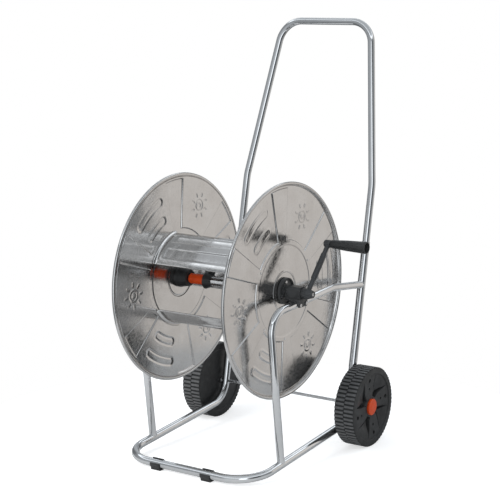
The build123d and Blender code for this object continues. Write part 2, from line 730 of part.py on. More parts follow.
def make_connector_sleeve():
    """Orange release sleeve that slides along the connector."""
    low, high = sleeve_x
    bore = connector_r + running_gap
    sleeve = x_cylinder(sleeve_r, low, high)
    sleeve = fillet(sleeve.edges().filter_by(GeomType.CIRCLE), sleeve_round)
    sleeve -= x_cylinder(bore, low - overcut, high + overcut)
    sleeve -= x_cylinder(sleeve_pocket_r, *sleeve_pocket_x)
    return at_reel(sleeve)


def make_connector_spring():
    """Return spring inside the sleeve's pocket."""
    pitch = (spring_x[1] - spring_x[0]) / spring_turns
    plane = Plane(origin=(spring_x[0], 0, 0), z_dir=(1, 0, 0))
    coil = plane * Helix(pitch, spring_x[1] - spring_x[0], spring_r)
    section = Plane(origin=coil @ 0, z_dir=coil % 0) * Circle(spring_wire_r)
    return at_reel(sweep(section, path=coil, is_frenet=True))


def outlet_point(distance, x):
    y, z = polar(distance, outlet_angle)
    return (x, y, z)


def make_outlet_elbow():
    """Cone on the shaft's end with a barbed hose tail that leaves through a gap in the drum."""
    low, high = outlet_x
    middle = (low + high) / 2
    body = x_cone(*outlet_cone_r, low, high)
    body += x_cylinder(shaft_r - shaft_wall, high, high + outlet_plug)
    away = Plane(origin=(middle, 0, 0), z_dir=outlet_point(1, 0))
    body += extrude(away * Circle(outlet_tube_r), outlet_reach)
    for i in range(barb_count):
        base = outlet_reach - barb_lead - (i + 1) * barb_pitch
        ring = Plane(origin=outlet_point(base, middle), z_dir=outlet_point(1, 0))
        upright = (Align.CENTER, Align.CENTER, Align.MIN)
        body += ring * Cone(outlet_tube_r + barb_height, outlet_tube_r, barb_pitch, align=upright)
    body -= extrude(away * Circle(outlet_bore_r), outlet_reach + overcut)
    body -= x_cylinder(outlet_bore_r, low - overcut, middle)
    return at_reel(body)


def make_reel_shaft():
    return at_reel(x_ring(shaft_r, shaft_r - shaft_wall, outlet_x[1], star_right_x - socket_floor))


def make_inlet_elbow():
    """Fixed inlet: a flange on the left block, a spigot in the journal and a push-on hose nipple."""
    face = block_left[0]
    body = x_extruded(SlotOverall(inlet_flange_length, inlet_flange_width), face - inlet_flange_depth, face)
    body += x_cylinder(inlet_body_r, inlet_turn_x, face)
    body += Pos(inlet_turn_x, 0, 0) * Sphere(inlet_body_r)
    direction = (0, *polar(1, inlet_angle))
    away = Plane(origin=(inlet_turn_x, 0, 0), z_dir=direction)
    body += extrude(away * Circle(inlet_body_r), inlet_branch)
    body += extrude(away * Circle(nipple_waist_r), inlet_reach)
    body += extrude(away.offset(nipple_collar_at) * Circle(nipple_r), nipple_collar)
    body += extrude(away.offset(inlet_reach - nipple_tip) * Circle(nipple_tip_r), nipple_tip)
    body += x_cylinder(spigot_r, face - overcut, face + spigot_depth)
    for ring_x in o_ring_x():
        groove = (ring_x - o_ring_r, ring_x + o_ring_r)
        body -= x_ring(spigot_r + overcut, spigot_r - 2 * o_ring_r, *groove)
    body -= x_cylinder(inlet_bore_r, inlet_turn_x, face + spigot_depth + overcut)
    body -= extrude(away * Circle(inlet_bore_r), inlet_reach + overcut)
    for y, z in inlet_screw_sites():
        body -= x_cylinder(inlet_screw_r, face - inlet_flange_depth - overcut, face + overcut, y, z)
    return at_reel(body)


def o_ring_x():
    return [block_left[0] + distance for distance in o_ring_at]


def inlet_screw_sites():
    return [polar(inlet_screw_at, angle) for angle in (0, 180)]


def make_inlet_o_rings():
    rings = []
    for x in o_ring_x():
        profile = Plane.XZ * (Pos(x, spigot_r - o_ring_r) * Circle(o_ring_r - o_ring_gap))
        rings.append(at_reel(revolve(profile, along_x)))
    return solids_group(rings)


def make_inlet_screws():
    """Two screws through the inlet's flange into the left block."""
    outer = block_left[0] - inlet_flange_depth
    screws = []
    for y, z in inlet_screw_sites():
        shank = x_cylinder(inlet_screw_r, outer, block_left[0] + inlet_screw_depth, y, z)
        head = x_cylinder(inlet_screw_head_r, outer - inlet_screw_head, outer, y, z)
        screws.append(at_reel(shank + head - cross_recess(outer - inlet_screw_head, y, z)))
    return solids_group(screws)


# ---------------------------------------------------------------- crank and grip
grip_y, grip_dz = polar(crank_length, crank_angle)


def make_crank_arm():
    """Boss on the square drive, a round arm with a thicker middle, and the grip's pin."""
    low, high = boss_x
    body = x_cylinder(boss_r[0], low, low + boss_straight) + x_cone(*boss_r, low + boss_straight, high)
    direction = (0, *polar(1, crank_angle))
    root = Plane(origin=(crank_x, 0, 0), z_dir=direction)
    body += extrude(root * Circle(rod_r), crank_length)
    start = rod_sleeve[0] * crank_length
    thick = Plane(origin=(crank_x, *polar(start, crank_angle)), z_dir=direction)
    body += extrude(thick * Circle(rod_sleeve_r), (rod_sleeve[1] - rod_sleeve[0]) * crank_length)
    eye = x_cylinder(eye_r, *eye_x, grip_y, grip_dz)
    body += fillet(eye.edges().filter_by(GeomType.CIRCLE).group_by(Axis.X)[0], eye_round)
    body += x_cylinder(pin_r, eye_x[1] - overcut, grip_mouth_x + pin_lip, grip_y, grip_dz)
    socket = drive_square + drive_gap
    body -= x_extruded(Rectangle(socket, socket), low - overcut, low + drive_depth + drive_gap)
    body -= x_cylinder(hub_screw_r, low, high)
    body -= x_cylinder(screw_head_r, high - screw_head - crank_screw_sink, high + overcut)
    hole = (grip_mouth_x - grip_screw_depth - overcut, grip_mouth_x + 2 * overcut)
    body -= x_cylinder(hub_screw_r, *hole, grip_y, grip_dz)
    return at_reel(body)


def make_crank_screw():
    high = boss_x[1] - crank_screw_sink
    shank = x_cylinder(hub_screw_r, boss_x[0] - crank_screw_depth, high - screw_head)
    head = x_cylinder(screw_head_r - screw_head_gap, high - screw_head, high)
    return at_reel(shank + head - cross_recess(high, 0, 0))


def make_grip():
    """Tapered hollow-ended hand grip that turns on the crank's pin."""
    low, high = grip_x
    middle = low + grip_middle * (high - low)
    bore = pin_r + running_gap
    outline = [
        (low, bore),
        (low, grip_r[0] - grip_chamfer[0]),
        (low + grip_chamfer[0], grip_r[0]),
        (middle, grip_r[1]),
        (high - grip_chamfer[1], grip_r[2]),
        (high, grip_r[2] - grip_chamfer[1]),
        (high, grip_mouth_r),
        (grip_mouth_x, grip_mouth_r - mouth_taper),
        (grip_mouth_x, bore),
    ]
    return at_reel(Pos(0, grip_y, grip_dz) * turned(outline))


def make_grip_washer():
    low = grip_mouth_x + pin_lip
    return at_reel(x_ring(grip_washer_r, hub_screw_r, low, low + grip_washer_thickness, grip_y, grip_dz))


def make_grip_screw():
    low = grip_mouth_x + pin_lip + grip_washer_thickness
    shank = x_cylinder(hub_screw_r, grip_mouth_x - grip_screw_depth, low, grip_y, grip_dz)
    head = x_cylinder(screw_head_r, low, low + screw_head, grip_y, grip_dz)
    return at_reel(shank + head - cross_recess(low + screw_head, grip_y, grip_dz))


# ---------------------------------------------------------------- the whole cart
def make_parts():
    """Every node's shape by name, in the design frame."""
    frame_bar = swept(lower_frame_path(), frame_tube_r)
    support_right = make_support_right(frame_bar)
    parts = {
        "lower_frame": make_lower_frame(),
        "push_handle": make_push_handle(),
        "handle_rivets": make_handle_rivets(),
        "support_right": support_right,
        "support_left": mirrored(support_right),
        "foot_clip_left": make_foot_clip(clip_x[0]),
        "foot_clip_right": make_foot_clip(clip_x[1]),
        "axle_rod": make_axle_rod(),
        "axle_spacers": make_axle_spacers(),
        "bearing_block_right": make_bearing_block(*block_right, half_track, block_half_y),
        "bearing_block_left": make_bearing_block_left(),
        "block_screws_right": make_block_screws(),
        "block_screws_left": mirrored(make_block_screws()),
        "block_nuts_right": make_block_nuts(),
        "block_nuts_left": mirrored(make_block_nuts()),
        "inlet_elbow": make_inlet_elbow(),
        "inlet_o_rings": make_inlet_o_rings(),
        "inlet_screws": make_inlet_screws(),
        "flange_left": make_flange(reel_left_x, -1),
        "flange_right": make_flange(reel_right_x, 1),
        "drum_rivets": make_drum_rivets(),
        "hub_cup_right": make_hub_cup_right(),
        "hub_cup_left": make_hub_cup_left(),
        "manifold": make_manifold(),
        "shaft_socket": make_shaft_socket(),
        "hub_screws_right": make_hub_screws(star_outer_right, 1),
        "hub_screws_left": make_hub_screws(star_outer_left, -1),
        "reel_shaft": make_reel_shaft(),
        "outlet_elbow": make_outlet_elbow(),
        "connector_body": make_connector_body(),
        "connector_spring": make_connector_spring(),
        "connector_sleeve": make_connector_sleeve(),
        "crank_arm": make_crank_arm(),
        "crank_screw": make_crank_screw(),
        "grip": make_grip(),
        "grip_washer": make_grip_washer(),
        "grip_screw": make_grip_screw(),
    }
    for name, angle in drum_sheets.items():
        parts[name] = make_drum_sheet(angle)
    wheel_parts = {
        "wheel_outer": make_wheel_outer(),
        "wheel_inner": make_wheel_inner(),
        "hub_cap": make_hub_cap(),
        "axle_push_nut": make_push_nut(),
    }
    for name, shape in wheel_parts.items():
        parts[name + "_right"] = shape
        parts[name + "_left"] = mirrored(shape)
    return parts


def main():
    os.makedirs("parts", exist_ok=True)
    parts = make_parts()
    boxes = [shape.bounding_box() for shape in parts.values()]
    low = [min(getattr(box.min, side) for box in boxes) for side in "XYZ"]
    high = [max(getattr(box.max, side) for box in boxes) for side in "XYZ"]
    shift = Pos(-(low[0] + high[0]) / 2, -(low[1] + high[1]) / 2, -low[2])
    print("box", [round(value, 2) for value in low], [round(value, 2) for value in high])
    print("moved by", shift.position)
    print("axle", axle_y, wheel_r)
    print("grip", grip_y, axis_z + grip_dz)
    for name, shape in parts.items():
        export_step(shift * shape, f"parts/{name}.step")


main()
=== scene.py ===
import json
import math

import bmesh
import bpy
import numpy as np
from mathutils import Matrix, Vector


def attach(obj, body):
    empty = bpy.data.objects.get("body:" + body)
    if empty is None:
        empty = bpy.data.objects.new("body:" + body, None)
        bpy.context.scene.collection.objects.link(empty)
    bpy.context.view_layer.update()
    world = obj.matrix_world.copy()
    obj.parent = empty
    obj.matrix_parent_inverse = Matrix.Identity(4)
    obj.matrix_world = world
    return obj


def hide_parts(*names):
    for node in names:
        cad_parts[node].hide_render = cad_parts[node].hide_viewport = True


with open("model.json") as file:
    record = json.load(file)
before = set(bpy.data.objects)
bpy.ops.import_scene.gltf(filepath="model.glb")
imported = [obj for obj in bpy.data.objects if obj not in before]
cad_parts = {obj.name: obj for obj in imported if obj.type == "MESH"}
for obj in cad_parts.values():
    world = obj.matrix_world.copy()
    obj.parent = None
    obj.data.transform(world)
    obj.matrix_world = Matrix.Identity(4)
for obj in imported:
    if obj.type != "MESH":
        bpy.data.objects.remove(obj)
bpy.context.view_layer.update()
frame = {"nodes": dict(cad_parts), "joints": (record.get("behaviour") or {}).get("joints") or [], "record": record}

# ---------------------------------------------------------------- the cart's own frame, in millimetres
# X across the cart (+X is the crank side), Y to the rear with 0 at the reel's axis, Z up from the floor.
MM = 0.001
joints = {joint["name"]: joint for joint in frame["joints"]}
reel_at = Vector(joints["reel_spin"]["pos_m"])
wheel_at = Vector(joints["wheel_right_spin"]["pos_m"])
grip_at = Vector(joints["grip_spin"]["pos_m"])
origin = Vector((reel_at.x, reel_at.y, 0))
axis_z = reel_at.z / MM
axle_y = (wheel_at.y - origin.y) / MM
grip_y = (grip_at.y - origin.y) / MM
grip_z = grip_at.z / MM

half_track = 189.0
frame_tube_r, handle_tube_r, support_tube_r = 10.0, 9.0, 9.0
tube_wall, rim_chamfer, seen_bore, tube_segments = 1.0, 0.25, 18.0, 40
front_y, front_z = -199.0, 15.0
rear_y, rear_z = 230.0, 53.0
knee_y, knee_z = 341.5, 641.0
front_bend, rear_bend = 85.0, 60.0
joint_z = 500.0
handle_insert = 60.0
top_half, top_y, top_z = 130.5, 429.5, 1042.5
knee_bend, top_bend = 150.0, 62.0
foot_along_rail = 0.29
arm_front_y, arm_front_z = -122.5, 392.0
arm_rear_y, arm_rear_z = 150.5, 410.0
arm_end_z = 394.0
arm_front_bend, arm_rear_bend = 48.0, 60.0
cope_length, weld_r, weld_sink = 14.0, 1.0, 0.3

wheel_r, wheel_width, wheel_outer_x = 100.0, 54.0, 258.0
wheel_seam_x = wheel_outer_x - wheel_width / 2
tread_depth, tread_ribs = 2.6, 60
rib_pitch = 360 / tread_ribs
wheel_bore_r, cap_r, cap_seat = 4.2, 20.4, 12.0
fan_count, fan_first = 4, 55.0
web_holes = ((70.0, 4.3, 9.0, 0.0), (49.0, 2.6, 7.0, 3.0))  # distance from the axle, radius, depth, turn
axle_half_length, axle_r, axle_chamfer = 249.0, 4.0, 0.8

left_face_x, right_face_x = -155.5, 146.5
sheet = 0.8
star_offset = 2.5
flange_r, bead_r = 257.5, 4.0
flange_hole_r = 14.0
ring_bead_at, ring_bead_height = 47.0, 0.9
plate_r, plate_depth = 109.0, 0.9
rim_step_r, rim_step = 248.3, 2.8
sheet_waviness = 0.07
star_hub_r, star_tip_r = 121.0, 243.0
spoke_half_angle, spoke_angles = 8.0, [35.0 + 60 * i for i in range(6)]
pill_angles = (125.0, 245.0, 5.0)
rosette_angles = (65.0, 185.0, 305.0)
rosette_at, rosette_height, ray_count = 185.0, 0.8, 8
pills = ((210.0, 12.0), (162.0, 10.0))  # radius and half length in degrees
pill_half_width, pill_height, pill_dip = 12.0, 1.2, 0.5
drum_r, drum_flare, drum_half_angle, drum_curl_r = 113.0, 5.6, 28.0, 2.1
flute_at, flute_depth = 0.45, 2.3
drum_angles = {"drum_sheet_upper": 126.0, "drum_sheet_lower": 246.0, "drum_sheet_rear": 6.0}

shaft_x, shaft_r, shaft_bore_r, shaft_chamfer = (-57.0, 146.0), 12.5, 11.0, 0.3
sleeve_x, sleeve_r, sleeve_bore_r = (-124.6, -82.0), 12.5, 9.05
sleeve_pocket_x, sleeve_pocket_r = (-104.0, -89.7), 11.4
crank_throw, crank_angle, crank_x = 141.0, 48.0, 211.5
grip_x, grip_bore_r, mouth_floor_x = (219.4, 316.0), 5.05, 299.6
recess_x, recess_count, recess_first, recess_depth = (246.0, 296.0), 4, 20.0, 0.07

usual_sharp_angle = 38.0


# ---------------------------------------------------------------- mesh helpers
def unit(vector):
    return vector / np.linalg.norm(vector)


def units(vectors):
    """The direction of each row."""
    return vectors / np.linalg.norm(vectors, axis=1)[:, None]


def smooth_step(low, high, value):
    """0 below low, 1 above high and an S-curve between them."""
    t = np.clip((value - low) / (high - low), 0, 1)
    return t * t * (3 - 2 * t)


def bent_path(corners, radii, step=4.0):
    """Points along straight runs joined by arcs, one radius for each inner corner, a step in degrees."""
    corners = [np.array(corner, float) for corner in corners]
    points = [corners[0]]
    for before, corner, after, radius in zip(corners, corners[1:], corners[2:], radii):
        back, ahead = unit(before - corner), unit(after - corner)
        half = math.acos(np.clip(back @ ahead, -1, 1)) / 2
        centre = corner + unit(back + ahead) * radius / math.sin(half)
        start = corner + back * radius / math.tan(half) - centre
        turn = math.pi - 2 * half
        count = max(2, math.ceil(math.degrees(turn) / step))
        for t in np.linspace(0, turn, count + 1):
            points.append(centre + start * math.cos(t) - back * radius * math.sin(t))
    points.append(corners[-1])
    return np.array(points)


def grid_faces(rows, columns, wrap_rows=False):
    """Quads over a grid of vertices numbered row by row, whose columns wrap round."""
    i = np.arange(rows if wrap_rows else rows - 1)
    j = np.arange(columns)
    i, j = np.meshgrid(i, j, indexing="ij")
    next_i, next_j = (i + 1) % rows, (j + 1) % columns
    corners = [i * columns + j, i * columns + next_j, next_i * columns + next_j, next_i * columns + j]
    return np.stack(corners, -1).reshape(-1, 4).tolist()


def linked(name, data):
    """A new object in the scene."""
    obj = bpy.data.objects.new(name, data)
    bpy.context.scene.collection.objects.link(obj)
    return obj


def finish_mesh(obj, sharp_angle=usual_sharp_angle):
    """Turns the normals outwards and shades smooth between the sharp edges."""
    work = bmesh.new()
    work.from_mesh(obj.data)
    bmesh.ops.recalc_face_normals(work, faces=work.faces)
    work.to_mesh(obj.data)
    work.free()
    obj.data.shade_smooth()
    obj.data.set_sharp_from_angle(angle=math.radians(sharp_angle))


def piece_from(name, vertices, faces, sharp_angle):
    """A new object from points in millimetres in the cart's own frame."""
    mesh = bpy.data.meshes.new(name)
    mesh.from_pydata((np.asarray(vertices) * MM + np.array(origin)).tolist(), [], faces)
    obj = linked(name, mesh)
    finish_mesh(obj, sharp_angle)
    return obj


def grid_piece(name, grid, wrap_rows=False, sharp_angle=usual_sharp_angle):
    """A closed piece over a grid of points; rows that don't wrap are closed by flat ends."""
    rows, columns = grid.shape[:2]
    faces = grid_faces(rows, columns, wrap_rows)
    if not wrap_rows:
        faces.append(list(range(columns)))
        faces.append(list(range((rows - 1) * columns, rows * columns)))
    return piece_from(name, grid.reshape(-1, 3), faces, sharp_angle)


def sweep_frames(centres):
    """Two directions across a path at each of its points, carried along it without twist."""
    tangents = units(np.gradient(centres, axis=0))
    side = unit(np.cross(tangents[0], (0.123, 1.0, 0.271)))
    sides = []
    for tangent in tangents:
        side = unit(side - tangent * (side @ tangent))
        sides.append(side)
    sides = np.array(sides)
    return sides, np.cross(tangents, sides)


def rings_round(centres, sides, ups, radii, segments):
    """A ring of points round each centre, in the plane of its two directions across."""
    turn = np.linspace(0, 2 * math.pi, segments, endpoint=False)[None, :, None]
    around = np.cos(turn) * sides[:, None] + np.sin(turn) * ups[:, None]
    return centres[:, None] + around * np.asarray(radii, float)[:, None, None]


def tube_grid(centres, radii):
    """Rings of points round a path."""
    return rings_round(centres, *sweep_frames(centres), radii, tube_segments)


def tube_piece(name, corners, bends, radius):
    """A bent tube with chamfered rims and a bore that is seen into at both open ends."""
    path = bent_path(corners, bends)
    bore = radius - tube_wall
    rim = [
        (seen_bore, bore), (rim_chamfer, bore), (0.0, bore + rim_chamfer), (0.0, radius - rim_chamfer),
        (rim_chamfer, radius),
    ]
    from_start, from_end = unit(path[1] - path[0]), unit(path[-2] - path[-1])
    stations = [(path[0] + from_start * depth, 0, r) for depth, r in rim]
    stations += [(point, index, radius) for index, point in enumerate(path)][1:-1]
    stations += [(path[-1] + from_end * depth, -1, r) for depth, r in reversed(rim)]
    centres, indices, radii = (np.array(column) for column in zip(*stations))
    sides, ups = sweep_frames(path)
    return grid_piece(name, rings_round(centres, sides[indices], ups[indices], radii, tube_segments))


def ring_grid(rings, angles, y, z):
    """Points of rings about an X line. A ring's x and radius are each one number or one for every angle."""
    turn = np.radians(angles)
    grid = np.empty((len(rings), len(angles), 3))
    for row, (x, radius) in zip(grid, rings):
        row[:, 0] = x
        row[:, 1] = y + radius * np.cos(turn)
        row[:, 2] = z + radius * np.sin(turn)
    return grid


def even_angles(segments):
    return np.linspace(0, 360, segments, endpoint=False)


def lathe_piece(name, profile, y, z, segments=64, closed=False):
    """A body of revolution about an X line from (x, radius) points."""
    return grid_piece(name, ring_grid(profile, even_angles(segments), y, z), wrap_rows=closed)


def softened(profile, radius):
    """A profile with every inner corner rounded by the same small radius."""
    return bent_path(profile, [radius] * (len(profile) - 2), step=22.0)


def mirrored_piece(obj, name):
    """A left-hand twin about the middle of the frame."""
    twin = linked(name, obj.data.copy())
    twin.data.transform(Matrix.Translation((2 * origin.x, 0, 0)) @ Matrix.Scale(-1, 4, (1, 0, 0)))
    finish_mesh(twin)
    return twin


def joined(name, objects):
    """Several pieces of one part as one object."""
    work = bmesh.new()
    for obj in objects:
        work.from_mesh(obj.data)
    mesh = bpy.data.meshes.new(name)
    work.to_mesh(mesh)
    work.free()
    for obj in objects:
        bpy.data.objects.remove(obj)
    whole = linked(name, mesh)
    finish_mesh(whole)
    return whole


def dressed(node, bevel):
    """A copy of a CAD node's shape with rounded edges and smooth round faces, in its place."""
    merge_distance, flat_angle, edge_angle, sharp_angle = 1e-6, 0.6, 32, 42
    mesh = frame["nodes"][node].data.copy()
    obj = linked(node + "_finished", mesh)
    work = bmesh.new()
    work.from_mesh(mesh)
    bmesh.ops.remove_doubles(work, verts=work.verts, dist=merge_distance)
    bmesh.ops.dissolve_limit(work, angle_limit=math.radians(flat_angle), verts=work.verts, edges=work.edges)
    sharp = [e for e in work.edges if e.is_manifold and e.calc_face_angle() > math.radians(edge_angle)]
    bmesh.ops.bevel(
        work, geom=sharp, offset=bevel * MM, segments=2, profile=0.6, affect="EDGES", clamp_overlap=True,
    )
    work.to_mesh(mesh)
    work.free()
    finish_mesh(obj, sharp_angle)
    return obj


# ---------------------------------------------------------------- materials
class Finish:
    """A material whose colour, roughness and relief come from procedural nodes."""

    def __init__(self, name, metallic, **constants):
        self.material = bpy.data.materials.new(name)
        self.material.use_nodes = True
        self.tree = self.material.node_tree
        self.shader = self.tree.nodes["Principled BSDF"]
        self.shader.inputs["Metallic"].default_value = metallic
        for socket, value in constants.items():
            self.shader.inputs[socket.replace("_", " ")].default_value = value
        self.place = self.add("ShaderNodeTexCoord").outputs["Object"]

    def add(self, kind, **settings):
        node = self.tree.nodes.new(kind)
        for key, value in settings.items():
            setattr(node, key, value)
        return node

    def link(self, source, target):
        self.tree.links.new(source, target)

    def noise(self, scale, detail=4.0, stretch=(1, 1, 1), roughness=0.55):
        """Noise over the object's own coordinates, which may be stretched."""
        mapping = self.add("ShaderNodeMapping")
        mapping.inputs["Scale"].default_value = stretch
        self.link(self.place, mapping.inputs["Vector"])
        noise = self.add("ShaderNodeTexNoise")
        noise.inputs["Scale"].default_value = scale
        noise.inputs["Detail"].default_value = detail
        noise.inputs["Roughness"].default_value = roughness
        self.link(mapping.outputs["Vector"], noise.inputs["Vector"])
        return noise.outputs["Fac"]

    def voronoi(self, scale):
        cells = self.add("ShaderNodeTexVoronoi")
        cells.inputs["Scale"].default_value = scale
        self.link(self.place, cells.inputs["Vector"])
        return cells

    def ramp(self, source, stops):
        """A colour ramp from (position, colour) stops."""
        ramp = self.add("ShaderNodeValToRGB")
        for element, (position, _) in zip(ramp.color_ramp.elements, (stops[0], stops[-1])):
            element.position = position
        ramp.color_ramp.elements[0].color = (*stops[0][1], 1)
        ramp.color_ramp.elements[-1].color = (*stops[-1][1], 1)
        for position, colour in stops[1:-1]:
            ramp.color_ramp.elements.new(position).color = (*colour, 1)
        self.link(source, ramp.inputs["Fac"])
        return ramp.outputs["Color"]

    def spread(self, source, low, high, start=0.3, stop=0.7):
        """A number that runs from low to high as the source runs from start to stop."""
        spread = self.add("ShaderNodeMapRange")
        for socket, value in (("From Min", start), ("From Max", stop), ("To Min", low), ("To Max", high)):
            spread.inputs[socket].default_value = value
        self.link(source, spread.inputs["Value"])
        return spread.outputs["Result"]

    def colour(self, source, *stops):
        self.link(self.ramp(source, stops), self.shader.inputs["Base Color"])

    def roughness(self, source, low, high):
        self.link(self.spread(source, low, high), self.shader.inputs["Roughness"])

    def relief(self, *layers):
        """Bump layers as (source, strength, height in mm)."""
        normal = None
        for source, strength, height in layers:
            bump = self.add("ShaderNodeBump")
            bump.inputs["Strength"].default_value = strength
            bump.inputs["Distance"].default_value = height * MM
            self.link(source, bump.inputs["Height"])
            if normal is not None:
                self.link(normal, bump.inputs["Normal"])
            normal = bump.outputs["Normal"]
        self.link(normal, self.shader.inputs["Normal"])


def grey(value, warmth=0.0):
    return (value * (1 + warmth), value, value * (1 - warmth))


def make_tube_finish():
    """Bright zinc plating on drawn tube: fine lengthwise draw lines and faint clouding."""
    finish = Finish("bright_zinc_tube", 1.0)
    cloud = finish.noise(9.0, 5.0)
    finish.colour(cloud, (0.3, grey(0.60, -0.005)), (0.7, grey(0.72)))
    finish.roughness(finish.noise(35.0, 6.0), 0.06, 0.14)
    finish.relief((finish.noise(260.0, 3.0), 0.04, 0.05), (finish.noise(14.0, 2.0), 0.18, 0.25))
    return finish.material


def make_sheet_finish():
    """Galvanised sheet: warm grey, fine grain, faint crystal flakes and rolling streaks."""
    finish = Finish("galvanised_sheet", 1.0)
    flakes = finish.voronoi(140.0)
    cloud = finish.noise(16.0, 6.0)
    finish.colour(cloud, (0.25, grey(0.515, 0.028)), (0.5, grey(0.555, 0.022)), (0.75, grey(0.59, 0.014)))
    finish.roughness(flakes.outputs["Distance"], 0.12, 0.20)
    grain = finish.noise(900.0, 3.0)
    streaks = finish.noise(45.0, 4.0, stretch=(1, 1, 7))
    finish.relief((grain, 0.20, 0.05), (streaks, 0.05, 0.10))
    return finish.material


def make_steel_finish():
    """Zinc-plated fasteners, rod and shaft."""
    finish = Finish("zinc_steel", 1.0)
    finish.colour(finish.noise(60.0), (0.3, grey(0.56)), (0.7, grey(0.70)))
    finish.roughness(finish.noise(120.0, 5.0), 0.16, 0.32)
    finish.relief((finish.noise(500.0, 2.0), 0.15, 0.05),)
    return finish.material


def make_plastic_finish(name, dark, light, rough, grain_scale=850.0, relief=0.25):
    """Moulded black plastic with a fine grain and slightly polished high spots."""
    finish = Finish(name, 0.0, Specular_IOR_Level=0.32)
    finish.colour(finish.noise(26.0, 6.0), (0.3, dark), (0.7, light))
    finish.roughness(finish.noise(70.0, 4.0), rough - 0.07, rough + 0.07)
    finish.relief((finish.noise(grain_scale, 2.0), relief, 0.09), (finish.noise(40.0, 2.0), 0.12, 0.2))
    return finish.material


def make_wheel_finish():
    """Wheel plastic: dark grey with a moulded grain and tone that differs at random, its rib tops painted paler as
    a painted highlight.
    """
    finish = Finish("wheel_plastic", 0.0, Specular_IOR_Level=0.32)
    flat = finish.add("ShaderNodeVectorMath", operation="MULTIPLY")
    finish.link(finish.place, flat.inputs[0])
    flat.inputs[1].default_value = (0, 1, 1)
    away = finish.add("ShaderNodeVectorMath", operation="DISTANCE")
    finish.link(flat.outputs["Vector"], away.inputs[0])
    away.inputs[1].default_value = (0, wheel_at.y, wheel_at.z)
    # Painted highlight: the outermost 1.6 mm of the tread, the rib tops, is painted paler as if lit.
    rib_top_highlight = finish.spread(away.outputs["Value"], 0.0, 0.5, (wheel_r - 1.6) * MM, (wheel_r - 0.4) * MM)
    # Random tone from noise, plus the painted highlight on the rib tops, sets the colour.
    tone_and_rib_highlight = finish.add("ShaderNodeMath", operation="MULTIPLY_ADD")
    finish.link(finish.noise(60.0, 7.0), tone_and_rib_highlight.inputs[0])
    tone_and_rib_highlight.inputs[1].default_value = 0.5
    finish.link(rib_top_highlight, tone_and_rib_highlight.inputs[2])
    finish.colour(
        tone_and_rib_highlight.outputs["Value"],
        (0.15, grey(0.020)), (0.35, grey(0.032)), (0.65, grey(0.088)), (0.85, grey(0.125)),
    )
    finish.roughness(finish.noise(70.0, 4.0), 0.43, 0.57)
    finish.relief((finish.noise(600.0, 2.0), 0.4, 0.09), (finish.noise(40.0, 2.0), 0.12, 0.2))
    return finish.material


def make_orange_finish():
    """Semi-gloss orange plastic with slight shade variation."""
    finish = Finish("orange_plastic", 0.0, Specular_IOR_Level=0.22)
    finish.colour(finish.noise(50.0, 5.0), (0.3, (0.62, 0.060, 0.010)), (0.7, (0.78, 0.085, 0.014)))
    finish.roughness(finish.noise(90.0), 0.30, 0.42)
    finish.relief((finish.noise(650.0, 2.0), 0.18, 0.06),)
    return finish.material


finishes = {
    "tube": make_tube_finish(),
    "sheet": make_sheet_finish(),
    "steel": make_steel_finish(),
    "black": make_plastic_finish("black_plastic", grey(0.022), grey(0.036), 0.38),
    "hub": make_plastic_finish("hub_plastic", grey(0.042), grey(0.064), 0.36),
    "tread": make_wheel_finish(),
    "crank": make_plastic_finish("crank_grey", grey(0.040, -0.02), grey(0.060, -0.02), 0.36, 1100.0, 0.3),
    "orange": make_orange_finish(),
    "rubber": make_plastic_finish("seal_rubber", grey(0.012), grey(0.02), 0.65),
}
slot_finish = {
    "zinc_tube": "tube", "reel_sheet": "sheet", "bright_steel": "steel", "black_plastic": "black",
    "orange_plastic": "orange", "seal_rubber": "rubber",
}


def give(obj, finish, body, slot, *nodes):
    """Finishes a piece, rides it on its body and hides the CAD nodes it replaces."""
    obj.data.materials.clear()
    obj.data.materials.append(finishes[finish])
    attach(obj, body)
    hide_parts(*nodes)


def upright_y(z):
    """Y of the upright's centreline at a height."""
    return rear_y + (z - rear_z) * (knee_y - rear_y) / (knee_z - rear_z)


# ---------------------------------------------------------------- frame tubes
def two_sided(right):
    """A path whose right half is given from the middle outwards, and whose left half mirrors it."""
    return [(-x, y, z) for x, y, z in reversed(right)] + right


def make_frame_tubes():
    """The bent tube of base loop and uprights, and the push handle's tube plugged into it."""
    base = two_sided([
        (half_track, front_y, front_z),
        (half_track, rear_y, rear_z),
        (half_track, upright_y(joint_z), joint_z),
    ])
    lower = tube_piece("base_tube", base, [rear_bend, front_bend, front_bend, rear_bend], frame_tube_r)
    give(lower, "tube", "frame", "zinc_tube", "lower_frame")
    bottom = joint_z - handle_insert
    loop = two_sided([
        (top_half, top_y, top_z),
        (half_track, knee_y, knee_z),
        (half_track, upright_y(bottom), bottom),
    ])
    handle = tube_piece("handle_tube", loop, [knee_bend, top_bend, top_bend, knee_bend], handle_tube_r)
    give(handle, "tube", "frame", "zinc_tube", "push_handle")


def coped_ring(ring, along, rail_start, rail_end):
    """A ring of points moved in one direction on to the surface of a frame tube."""
    rail = unit(rail_end - rail_start)
    across = along - rail * (along @ rail)
    away = ring - rail_start
    away = away - np.outer(away @ rail, rail)
    a, b = across @ across, 2 * away @ across
    c = (away * away).sum(1) - (frame_tube_r - weld_sink) ** 2
    reach = (-b - np.sqrt(np.clip(b * b - 4 * a * c, 0, None))) / (2 * a)
    return ring + along * reach[:, None]


def weld_bead(name, ring):
    """A small uneven weld along a ring of points."""
    steps = np.arange(len(ring))
    unevenness = 0.18 * np.sin(steps * 1.9) + 0.1 * np.sin(steps * 4.3)
    closed = np.concatenate([ring[-1:], ring, ring[:1]])
    tangents = units(closed[2:] - closed[:-2])
    outward = ring - ring.mean(0)
    outward = units(outward - tangents * (outward * tangents).sum(1)[:, None])
    grid = rings_round(ring, outward, np.cross(tangents, outward), weld_r * (1 + unevenness), 10)
    return grid_piece(name, grid, wrap_rows=True)


